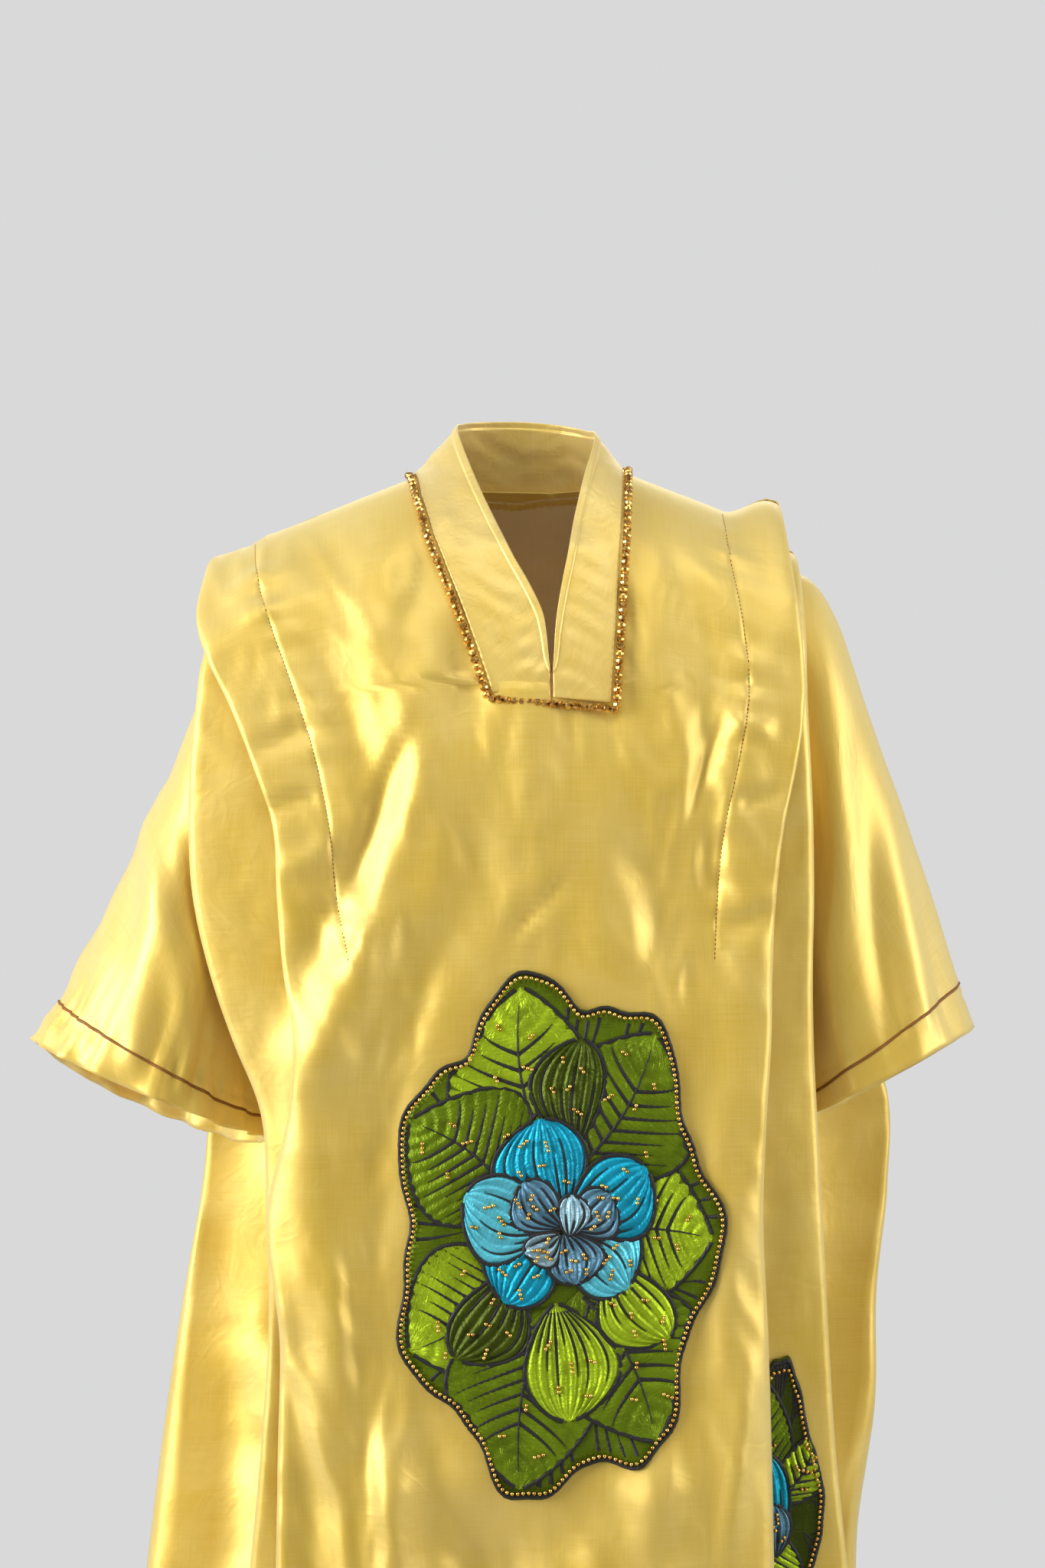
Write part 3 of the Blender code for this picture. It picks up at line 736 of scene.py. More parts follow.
def add_piece(name: str, bm: Mesh, finish: Material, wall: float = 0.0,
              smooth: bool = True) -> Piece:
    """Make a finished piece that rides on the body.

    Args:
        name: The piece's name.
        bm: Its mesh, which is used up.
        finish: Its material.
        wall: Thickness of its cloth, for an open sheet.
        smooth: Whether it is shaded smooth.

    Returns:
        The piece.
    """
    piece = in_scene(name, bm)
    polygons = piece.data.polygons
    polygons.foreach_set("use_smooth", [smooth] * len(polygons))
    piece.data.materials.append(finish)
    if wall:
        shell = piece.modifiers.new("wall", "SOLIDIFY")
        shell.thickness, shell.offset, shell.use_quality_normals = wall, 0.0, True
    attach(piece, BODY)
    LOG.info("%s: %d faces", name, len(polygons))
    return piece


class Bench:
    """Adds nodes to a node tree and joins them."""

    def __init__(self, tree: bpy.types.NodeTree) -> None:
        """Keep the tree.

        Args:
            tree: Node tree to work on.
        """
        self.tree = tree

    def fill(self, node: Node, inputs: dict[str | int, object]) -> None:
        """Give a node its inputs.

        Args:
            node: The node.
            inputs: Values, or sockets to join, by the name or place of the input.
        """
        for name, value in inputs.items():
            if isinstance(value, Socket):
                self.tree.links.new(value, node.inputs[name])
            else:
                node.inputs[name].default_value = value

    def node(self, kind: str, inputs: dict[str | int, object] | None = None, **settings: object) -> Node:
        """Add a node.

        Args:
            kind: The node's type, such as ShaderNodeBump.
            inputs: Values, or sockets to join, by the name or place of the input.
            settings: The node's own settings.

        Returns:
            The node.
        """
        made = self.tree.nodes.new(kind)
        for name, value in settings.items():
            setattr(made, name, value)
        self.fill(made, inputs or {})
        return made

    def math(self, operation: str, first: object, second: object = 0.0) -> Socket:
        """Add a sum, product or other operation on two values and return its result."""
        return self.node("ShaderNodeMath", {0: first, 1: second}, operation=operation).outputs[0]

    def blend(self, share: object, first: object, second: object, mode: str = "MIX") -> Socket:
        """Add a mix of two colours.

        Args:
            share: Share of the second, from 0 to 1.
            first: First colour.
            second: Second colour.
            mode: How they are mixed.

        Returns:
            The mixed colour.
        """
        first, second = ((*side, 1.0) if isinstance(side, tuple) else side for side in (first, second))
        return self.node("ShaderNodeMix", {"Factor": share, 6: first, 7: second},
                         data_type="RGBA", blend_type=mode).outputs[2]

    def spread(self, value: object, low: float, high: float, start: float = 0.0, end: float = 1.0) -> Socket:
        """Add a map of start to end on to low to high and return the result."""
        return self.node("ShaderNodeMapRange", {"Value": value, "From Min": start, "From Max": end,
                                                "To Min": low, "To Max": high}).outputs[0]

    def noise(self, place: Socket, scale: object, detail: float, **more: float) -> Socket:
        """Add a noise and return its value."""
        return self.node("ShaderNodeTexNoise",
                         {"Vector": place, "Scale": scale, "Detail": detail, **more}).outputs["Fac"]

    def streaks(self, place: Socket, scales: tuple[float, float]) -> Socket:
        """Add a noise with its own scale each way and return its value."""
        stretched = self.node("ShaderNodeMapping", {"Vector": place, "Scale": (*scales, 1.0)})
        return self.noise(stretched.outputs[0], 1.0, 2.0)

    def lines(self, place: Socket, scale: Socket, axis: str, **more: float) -> Socket:
        """Add evenly spaced lines and return their height."""
        return self.node("ShaderNodeTexWave", {"Vector": place, "Scale": scale, **more},
                         bands_direction=axis).outputs["Fac"]

    def bump(self, height: Socket, strength: float, distance: float, below: Socket | None = None) -> Socket:
        """Add a bump, on top of another if one is given.

        Args:
            height: Height that changes over the surface.
            strength: Share of it that is shown.
            distance: What a height of 1 stands for, in metres.
            below: Normal of the bump under it.

        Returns:
            The bumped normal.
        """
        under = {"Normal": below} if below else {}
        return self.node("ShaderNodeBump", {"Height": height, "Strength": strength, "Distance": distance,
                                            **under}).outputs[0]

    def effect(self, group: bpy.types.NodeTree, place: Socket, size: float) -> tuple[Socket, Socket]:
        """Add a shared effect.

        Args:
            group: The effect.
            place: The place that it reads.
            size: Size of its threads or hills.

        Returns:
            Its height and its tone.
        """
        used = self.node("ShaderNodeGroup", {}, node_tree=group)
        self.fill(used, {0: place, 1: size})
        return used.outputs["Height"], used.outputs["Tone"]

    def cloth_place(self) -> Socket:
        """Add the place on the cut cloth and return it."""
        return self.node("ShaderNodeUVMap", uv_map=CLOTH_MAP).outputs[0]

    def object_place(self) -> Socket:
        """Add the place on the object and return it."""
        return self.node("ShaderNodeTexCoord").outputs["Object"]


class Effects:
    """Node groups that several finishes share, each with a height and a tone."""

    def __init__(self) -> None:
        """Build the groups once."""
        self.weave = self._group("weave", "Thread", self._weave)
        self.crinkle = self._group("crinkle", "Size", self._crinkle)
        self.strands = self._group("strands", "Thread", self._strands)

    @staticmethod
    def _group(name: str, size: str,
               fill: Callable[[Bench, Socket, Socket], tuple[Socket, Socket]]) -> bpy.types.NodeTree:
        """Build a node group.

        Args:
            name: The group's name.
            size: The name of its size input.
            fill: Adds its nodes and returns its height and its tone.

        Returns:
            The group.
        """
        group = bpy.data.node_groups.new(name, "ShaderNodeTree")
        for title, way, kind in (("Vector", "INPUT", "Vector"), (size, "INPUT", "Float"),
                                 ("Height", "OUTPUT", "Float"), ("Tone", "OUTPUT", "Float")):
            group.interface.new_socket(title, in_out=way, socket_type="NodeSocket" + kind)
        bench = Bench(group)
        taken = bench.node("NodeGroupInput").outputs
        height, tone = fill(bench, taken["Vector"], taken[size])
        bench.node("NodeGroupOutput", {"Height": height, "Tone": tone})
        return group

    @staticmethod
    def _weave(bench: Bench, place: Socket, thread: Socket) -> tuple[Socket, Socket]:
        """Plain weave: crossed threads with slubs.

        Args:
            bench: A bench on the group.
            place: The place on the cloth.
            thread: The width of a thread.

        Returns:
            The height and the tone.
        """
        scale = bench.math("DIVIDE", LINE_SCALE, thread)
        warp, weft = (bench.lines(place, scale, axis) for axis in "XY")
        fine, long = 900.0, 22.0
        slubs = [bench.streaks(place, scales) for scales in ((fine, long), (long, fine))]
        return bench.math("MAXIMUM", warp, weft), bench.math("MULTIPLY", bench.math("ADD", *slubs), 0.5)

    @staticmethod
    def _crinkle(bench: Bench, place: Socket, size: Socket) -> tuple[Socket, Socket]:
        """Fine crumpling of a crisp cloth: soft hills with sharp ridges.

        Args:
            bench: A bench on the group.
            place: The place on the cloth.
            size: The size of a hill.

        Returns:
            The height and the tone.
        """
        scale, finer = bench.math("DIVIDE", 1.0, size), 2.3
        hills = bench.noise(place, scale, 3.0, Roughness=0.45, Distortion=0.6)
        sharp = bench.noise(place, bench.math("MULTIPLY", scale, finer), 1.0, Distortion=1.2)
        ridges = bench.math("ABSOLUTE", bench.math("SUBTRACT", sharp, 0.5))
        return bench.math("SUBTRACT", hills, bench.math("MULTIPLY", ridges, 0.5)), hills

    @staticmethod
    def _strands(bench: Bench, place: Socket, thread: Socket) -> tuple[Socket, Socket]:
        """Threads laid side by side, as in satin and satin stitch.

        Args:
            bench: A bench on the group.
            place: The place on the cloth.
            thread: The width of a thread.

        Returns:
            The height and the tone.
        """
        scale = bench.math("DIVIDE", LINE_SCALE, thread)
        long, fine = 40.0, 1400.0
        return (bench.lines(place, scale, "Y", Distortion=1.5, Detail=1.0),
                bench.streaks(place, (long, fine)))


def new_material(name: str) -> tuple[Material, Bench, Node]:
    """Start a material.

    Args:
        name: The material's name.

    Returns:
        The material, a bench on its nodes, and its Principled shader.
    """
    made = bpy.data.materials.new(name)
    made.use_nodes = True
    return made, Bench(made.node_tree), made.node_tree.nodes["Principled BSDF"]


@dataclass(frozen=True)
class OrganzaFinish:
    """Sheer, crisp satin organza, whose colour carries painted sheen and shade by the viewing angle."""

    name: str
    # Darker amber where the cloth faces the view or its random tone is low: painted shade
    deep_tone_and_shade: Colour
    # Paler gold at grazing angles or where its random tone is high: painted sheen
    light: Colour
    cover: float
    roughness: float = 0.42
    thread: float = 0.0009
    thread_depth: float = 0.00006
    crumple: float = 0.080
    crumple_depth: float = 0.0012
    lustre: float = 0.36
    # How strongly the viewing angle, with the random tone, moves the colour between painted shade and painted
    # sheen
    painted_sheen_blend: float = 0.40
    shot_range: tuple[float, float] = (0.38, 1.20)
    sheen: float = 0.14
    sheen_tint: Colour = (1.0, 0.88, 0.62)

    def make(self, effects: Effects) -> Material:
        """Build the material.

        Args:
            effects: Where the weave and the crinkle come from.

        Returns:
            The material.
        """
        made, bench, shader = new_material(self.name)
        place = bench.cloth_place()
        threads, slubs = bench.effect(effects.weave, place, self.thread)
        folds, hills = bench.effect(effects.crinkle, place, self.crumple)
        tone = bench.math("ADD", bench.math("MULTIPLY", slubs, 0.5), bench.math("MULTIPLY", hills, 0.5))
        # Painted sheen and shade: the colour turns paler gold at grazing angles and darker amber where the
        # cloth faces the view; the random slubs and the crumples' hills also move it between the two colours
        aside = bench.node("ShaderNodeLayerWeight", {"Blend": self.painted_sheen_blend}).outputs["Facing"]
        share = bench.spread(bench.math("ADD", tone, aside), 0.0, 1.0, *self.shot_range)
        soft = bench.bump(folds, 1.0, self.crumple_depth)
        bench.fill(shader, {
            "Base Color": bench.blend(share, self.deep_tone_and_shade, self.light),
            "Normal": bench.bump(threads, 0.35, self.thread_depth, soft),
            "Roughness": bench.spread(slubs, self.roughness - 0.10, self.roughness + 0.10),
            "Alpha": self.cover, "Metallic": self.lustre, "Specular IOR Level": 0.5,
            "Sheen Weight": self.sheen, "Sheen Roughness": 0.4, "Sheen Tint": (*self.sheen_tint, 1.0),
        })
        return made


@dataclass(frozen=True)
class SatinFinish:
    """Dyed satin whose colour is on the piece."""

    name: str
    roughness: float = 0.32
    thread: float = 0.0007
    thread_depth: float = 0.00008
    crumple: float = 0.016
    crumple_depth: float = 0.0022
    lustre: float = 0.50
    brightness: tuple[float, float] = (0.55, 1.35)

    def make(self, effects: Effects) -> Material:
        """Build the material.

        Args:
            effects: Where the strands and the crinkle come from.

        Returns:
            The material.
        """
        made, bench, shader = new_material(self.name)
        place = bench.cloth_place()
        dye = bench.node("ShaderNodeAttribute", attribute_name=DYE).outputs["Color"]
        threads, tone = bench.effect(effects.strands, place, self.thread)
        folds, _ = bench.effect(effects.crinkle, place, self.crumple)
        bright = bench.spread(tone, *self.brightness)
        grey = bench.node("ShaderNodeCombineColor", dict.fromkeys(range(3), bright)).outputs[0]
        soft = bench.bump(folds, 0.9, self.crumple_depth)
        bench.fill(shader, {
            "Base Color": bench.blend(1.0, dye, grey, "MULTIPLY"),
            "Normal": bench.bump(threads, 0.5, self.thread_depth, soft),
            "Roughness": bench.spread(tone, self.roughness - 0.08, self.roughness + 0.14),
            "Metallic": self.lustre, "Specular IOR Level": 0.2,
        })
        return made


@dataclass(frozen=True)
class ThreadFinish:
    """Sewing or embroidery thread."""

    name: str
    colour: Colour
    roughness: float = 0.5
    thread: float = 0.0006
    thread_depth: float = 0.0002
    shade: float = 0.45

    def make(self, effects: Effects) -> Material:
        """Build the material.

        Args:
            effects: Where the strands come from.

        Returns:
            The material.
        """
        made, bench, shader = new_material(self.name)
        threads, tone = bench.effect(effects.strands, bench.object_place(), self.thread)
        dark = tuple(self.shade * part for part in self.colour)
        bench.fill(shader, {"Base Color": bench.blend(tone, dark, self.colour),
                            "Normal": bench.bump(threads, 0.8, self.thread_depth),
                            "Roughness": self.roughness})
        return made


@dataclass(frozen=True)
class BeadFinish:
    """Gold-coated bead, a little darker in random patches."""

    name: str
    bright: Colour
    dark: Colour
    roughness: float = 0.16
    patches: float = 260.0

    def make(self) -> Material:
        """Build the material.

        Returns:
            The material.
        """
        made, bench, shader = new_material(self.name)
        patch = bench.noise(bench.object_place(), self.patches, 2.0)
        share = bench.spread(patch, 0.0, 1.0, 0.4, 0.6)
        bench.fill(shader, {"Base Color": bench.blend(share, self.dark, self.bright),
                            "Roughness": bench.spread(patch, 0.6 * self.roughness, 1.5 * self.roughness),
                            "Metallic": 1.0})
        return made


@dataclass
class BodyForm:
    """Form of the worn body: sections, depths and the line of the shoulders."""

    shoulder_drop: float = 0.085
    shoulder_fade: float = 0.45
    shoulder_ease: float = 0.010
    bow: float = 0.12
    bow_width: float = 0.25
    armhole_level: float = -0.34
    armhole_depth: float = 0.070
    armhole_set: float = 0.018
    seam_step: float = 0.0005
    centre_x: float = 0.021
    sections: dict[Side, Profile] = field(
        default_factory=lambda: {side: Profile(table) for side, table in SECTIONS.items()})
    depths: Profile = field(default_factory=lambda: Profile(DEPTHS))

    def shoulder(self, x: Array) -> Array:
        """Height of the shoulder line, eased at its corners."""
        steps = (-self.shoulder_ease, 0.0, self.shoulder_ease)
        return sum(np.interp(x + step, *zip(*SHOULDERS)) for step in steps) / len(steps)

    def height(self, x: Array, level: Real) -> Array:
        """Height of a section's point: along the shoulders at the top, and level below them."""
        return level + self.shoulder(x) * np.maximum(0.0, 1 + level / self.shoulder_fade) ** 2

    def place(self, x: Array, z: Array, offset: Real, face: Face) -> Array:
        """Points of a panel, moved out from its middle.

        Args:
            x: Places across.
            z: Heights.
            offset: How far out.
            face: Front or back.

        Returns:
            Points, with x, y and z last.
        """
        x, z, offset = np.broadcast_arrays(np.asarray(x, float), z, offset)
        depth = self.depths.at(np.minimum(z, 0.0))
        reach = depth.front if face is Face.FRONT else depth.back
        reach = reach * (1 - self.bow * (x / self.bow_width) ** 2)
        cosine = np.clip(1 - np.maximum(0.0, self.shoulder(x) - z) / self.shoulder_drop, 0.0, 1.0)
        sine = np.sqrt(1 - cosine * cosine)
        normal_y, normal_z = face.value * sine / reach, cosine / self.shoulder_drop
        size = np.hypot(normal_y, normal_z)
        return np.stack([x, face.value * reach * sine + normal_y / size * offset,
                         z + normal_z / size * offset], axis=-1)

    def on_front(self, x: Array, z: Array, offset: Real) -> Array:
        """Points of the front with its largest folds, moved out."""
        return self.place(x, z, relief(FOLDS[Face.FRONT], x, z) + offset, Face.FRONT)

    def seam(self, level: Array, side: Side, face: Face) -> Array:
        """Armhole edge above the underarm, and side seam below it.

        Args:
            level: Levels of the points.
            side: Which side of the body.
            face: Whose edge, front or back.

        Returns:
            Points, with x, y and z last.
        """
        level = np.asarray(level, float)
        x = side.value * self.sections[side].at(level).seam
        top = self.height(side.value * SECTIONS[side][0].seam, 0.0) - self.armhole_set
        bottom = self.height(x, self.armhole_level)
        turn = np.pi * np.clip(level / self.armhole_level, 0.0, 1.0)
        hole = level >= self.armhole_level
        y = np.where(hole, face.value * self.armhole_depth * np.sin(turn), self.depths.at(level).notch)
        z = np.where(hole, mix(bottom, top, (1 + np.cos(turn)) / 2), self.height(x, level))
        return np.stack([x, y + self.seam_step * face.value, z], axis=-1)

    def run_of(self, face: Face, level: float) -> float:
        """Distance from the shoulder line down a panel.

        Args:
            face: Front or back.
            level: Level of the place.

        Returns:
            The distance, below zero on the front.
        """
        drop = self.shoulder_drop
        if -level >= drop:
            return face.value * (drop * math.pi / 2 - level - drop)
        return face.value * drop * math.acos(1 + level / drop)

    def from_run(self, x: Array, run: Array, offset: float) -> Array:
        """Points off the panels at distances run down from the shoulder line.

        Args:
            x: Places across.
            run: Distances from the shoulder line, below zero on the front.
            offset: How far out.

        Returns:
            Points, with x, y and z last.
        """
        turn = np.abs(run) / self.shoulder_drop
        over = -self.shoulder_drop * (1 - np.cos(np.minimum(turn, math.pi / 2)))
        level = np.where(turn < math.pi / 2, over, -self.shoulder_drop * (1 + turn - math.pi / 2))
        front, back = (self.place(x, self.height(x, level), offset, face) for face in Face)
        return np.where((run < 0)[..., None], front, back)


@dataclass
class Panel:
    """Front or back of the body, with a tuck at each shoulder that runs on as a pleat."""

    form: BodyForm
    name: str
    face: Face
    cut: tuple[NeckCut, ...]
    centre: int = 46
    tuck: int = 13
    under: int = 6
    side: int = 16
    inward: int = 9
    bend: int = 7
    over: int = 18
    row_pitch: float = 0.0074
    hem_level: float = -1.44
    tuck_lie: float = 0.004
    tuck_stand: dict[Side, float] = field(default_factory=lambda: {Side.LEFT: 0.020, Side.RIGHT: 0.034})
    tuck_fade: float = 0.05
    edge_turn: tuple[float, float, float] = (0.003, 0.006, 0.032)
    edge_fade: float = 0.08
    skirt_level: float = -0.56
    skirt_spread: float = 0.60
    side_calm: float = 0.4
    side_lift: float = 1.6
    pucker: float = 0.0034
    pucker_pitch: float = 0.032
    pucker_reach: float = 0.014
    pucker_end: float = -0.44
    pucker_top: float = 0.06
    pucker_even: float = 0.6
    pucker_shift: float = 1.6
    pucker_beat: float = 0.6
    pucker_fade: float = 0.05
    pucker_waver: float = 31.0
    pucker_swell: float = 37.0
    crowd: float = 1.5
    groove: float = 0.0014
    groove_width: float = 0.0022
    soft: float = 0.0040
    soft_size: float = 0.105
    crisp: float = 0.0009
    crisp_size: float = 0.040
    patch_calm: float = 0.25
    patch_fade: float = 0.25
    soft_stretch: float = 0.40
    crisp_stretch: float = 0.5
    calm_top: float = -0.02
    calm_fade: float = 0.10
    turn_in: float = 1.6
    lift_limits: tuple[float, float] = (-0.3, 0.6)
    crease_share: float = 1.9
    wall: float = 0.0009

    def levels(self) -> Array:
        """Levels of the rows: close over the shoulder, even below it.

        Returns:
            The levels, in a column.
        """
        drop = self.form.shoulder_drop
        over = -drop * (1 - np.cos(np.linspace(0.0, np.pi / 2, self.over)))
        count = round((-drop - self.hem_level) / self.row_pitch)
        return np.concatenate([over, np.linspace(-drop, self.hem_level, count + 1)[1:]])[:, None]

    def puckers(self, level: Array, away: Array, side: Side) -> Array:
        """Small gathers either side of the tuck's stitching, and the groove along it.

        Args:
            level: Levels of the points.
            away: Distances across from the stitching.
            side: Which half.

        Returns:
            Lift of the cloth.
        """
        along = 2 * np.pi * level / self.pucker_pitch
        shift = self.pucker_shift * np.sin(self.pucker_waver * level + side.value)
        wave = np.sin(along + shift) + 0.5 * np.sin(self.pucker_beat * along + 1.0)
        swell = np.sin(self.pucker_swell * level + 2.0 * side.value)
        uneven = self.pucker_even + (1 - self.pucker_even) * swell
        end = ease((level - self.pucker_end) / self.pucker_fade) * ease(-level / self.pucker_top)
        gathers = self.pucker * wave * uneven * np.exp(-np.abs(away) / self.pucker_reach)
        return end * (gathers - self.groove * bell(away, self.groove_width))

    def half(self, side: Side) -> Array:
        """Points of half the panel, from the neck or the centre out to the side seam.

        The cloth runs out over the tuck, back under it, out again as the side of the panel, and
        turns in at its outer fold to reach the seam.

        Args:
            side: Which half.

        Returns:
            Grid of points, a row for each level.
        """
        form, hand, level = self.form, side.value, self.levels()
        back = self.face is Face.BACK
        plan = form.sections[side].at(level)
        edge = plan.outline if back else plan.side
        gap = form.depths.at(level).gap
        turn = gap / 2
        top, body, hem = self.edge_turn
        edge_turn = mix(top, body, ease(-level / self.edge_fade))
        if back:
            edge_turn = mix(edge_turn, hem, ease((self.skirt_level - level) / self.skirt_spread))
        neck = Profile(self.cut).at(level)
        inner_x = np.where(level > self.cut[-1].level + WELD,
                           neck.left if side is Side.LEFT else neck.right, form.centre_x)
        stand = mix(self.tuck_lie, self.tuck_stand[side], np.exp(level / self.tuck_fade))
        drop = mix(-2 * gap, -self.tuck_lie, ease(1 + level / self.edge_fade))

        first = 1 - np.linspace(1.0, 0.0, self.centre + 1)[None, :] ** self.crowd
        arc = np.radians(np.linspace(90, -90, self.bend))[None, 1:]
        out_t, back_t, side_t = shares(self.tuck) ** self.crowd, shares(self.under), shares(self.side)
        centre_x = mix(inner_x, hand * plan.stitch, first)
        tuck_x = hand * mix(plan.stitch, plan.fold - turn, out_t)
        calm = self.side_calm
        stretches = (
            (centre_x, self.puckers(level, centre_x - hand * plan.stitch, side), 1.0),
            (tuck_x, stand * ease(out_t) + self.puckers(level, tuck_x - hand * plan.stitch, side), 1.0),
            (hand * (plan.fold - turn + turn * np.cos(arc)), stand - turn + turn * np.sin(arc), 1.0),
            (hand * mix(plan.fold - turn, plan.stitch + turn, back_t), stand * (1 - ease(back_t)) - gap, 1.0),
            (hand * (plan.stitch + turn - turn * np.cos(arc)), -1.5 * gap + turn * np.sin(arc), 1.0),
            (hand * mix(plan.stitch + turn, edge - edge_turn, side_t), mix(-2 * gap, drop, side_t), calm),
            (hand * (edge - edge_turn + edge_turn * np.cos(arc)),
             drop - edge_turn + edge_turn * np.sin(arc), calm),
        )
        x, out, weight = (np.concatenate(column, axis=1)
                          for column in zip(*(np.broadcast_arrays(*stretch) for stretch in stretches)))
        z = form.height(x, level)
        out = out + relief(FOLDS[self.face], x, z) + weight * self.small_relief(x, z)
        points = form.place(x, z, out, self.face)
        start, end = points[:, -1:], form.seam(level, side, self.face)
        t = shares(self.inward)[..., None]
        ways = 1 - (1 - t) ** 3, t ** self.turn_in, t
        turned = np.concatenate([mix(start[..., i:i + 1], end[..., i:i + 1], way)
                                 for i, way in enumerate(ways)], axis=2)
        if back:
            hump = 4 * (t * (1 - t))[..., 0]
            lift = self.side_lift * hump * self.small_relief(turned[..., 0], turned[..., 2])
            least, most = self.lift_limits
            turned[..., 1] -= np.clip(lift, least * edge_turn, most * edge_turn)
        return np.concatenate([points, turned], axis=1)

    def small_relief(self, x: Array, z: Array) -> Array:
        """Creases placed one by one, and the slight unevenness of crisp cloth.

        Args:
            x: Places across.
            z: Heights.

        Returns:
            Lift of the cloth.
        """
        soft = self.soft * ripple(x, self.soft_stretch * z, self.soft_size, Seed.PANEL_SOFT + self.face.value)
        seed = Seed.PANEL_CRISP + self.face.value
        folded = np.abs(ripple(x, self.crisp_stretch * z, self.crisp_size, seed))
        crisp = self.crisp * (1 - 2 * folded)
        calm = mix(1.0, self.patch_calm, self.under_patch(x, z))
        calm = calm * ease((z - self.calm_top) / -self.calm_fade)
        return (self.crease_share * relief(CREASES[self.face], x, z) + soft + crisp) * calm

    def under_patch(self, x: Array, z: Array) -> Array:
        """Where the stiff centre patch lies over the cloth.

        Args:
            x: Places across.
            z: Heights.

        Returns:
            A share from 0, away from the patch, to 1, under it.
        """
        if self.face is Face.BACK:
            return np.zeros(np.broadcast(x, z).shape)
        patch = PATCHES[0]
        away = np.hypot((x - patch.x) / patch.half_width, (z - patch.z) / patch.half_height)
        return ease((1 + self.patch_fade - away) / self.patch_fade)

    def stitch_line(self, side: Side) -> Array:
        """Line of the tuck's stitching, from the shoulder down."""
        level = self.levels()[:, 0]
        return self.half(side)[(level < -self.tuck_lie) & (level > self.pucker_end), self.centre]

    def hem_lines(self) -> list[Array]:
        """Lines of the hem's stitching, one for each half."""
        row = int(np.argmin(np.abs(self.levels()[:, 0] - self.hem_level - HEM_WIDTH)))
        return [self.half(side)[row] for side in Side]

    def build(self, finish: Material) -> Piece:
        """Build the panel's sheet and its wall.

        Args:
            finish: Its material.

        Returns:
            The piece.
        """
        halves = []
        full = int(np.argmax(self.levels()[:, 0] <= self.cut[-1].level + WELD)) + 1
        for side in Side:
            points = self.half(side)
            flat = cloth_map(points, self.centre)
            to_stitch = side.value * (points[:, self.centre, 0] - self.form.centre_x)
            extra = -flat[:, 0, 0] - to_stitch
            extra[:full] = extra[full]
            flat[..., 0] = side.value * (flat[..., 0] + (to_stitch + extra)[:, None])
            turn = slice(None, None, side.value)
            halves.append(grid_mesh(points[:, turn], flat[:, turn]))
        piece = add_piece(self.name + "_cloth", joined(halves, 20 * WELD), finish, self.wall)
        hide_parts(self.name)
        return piece


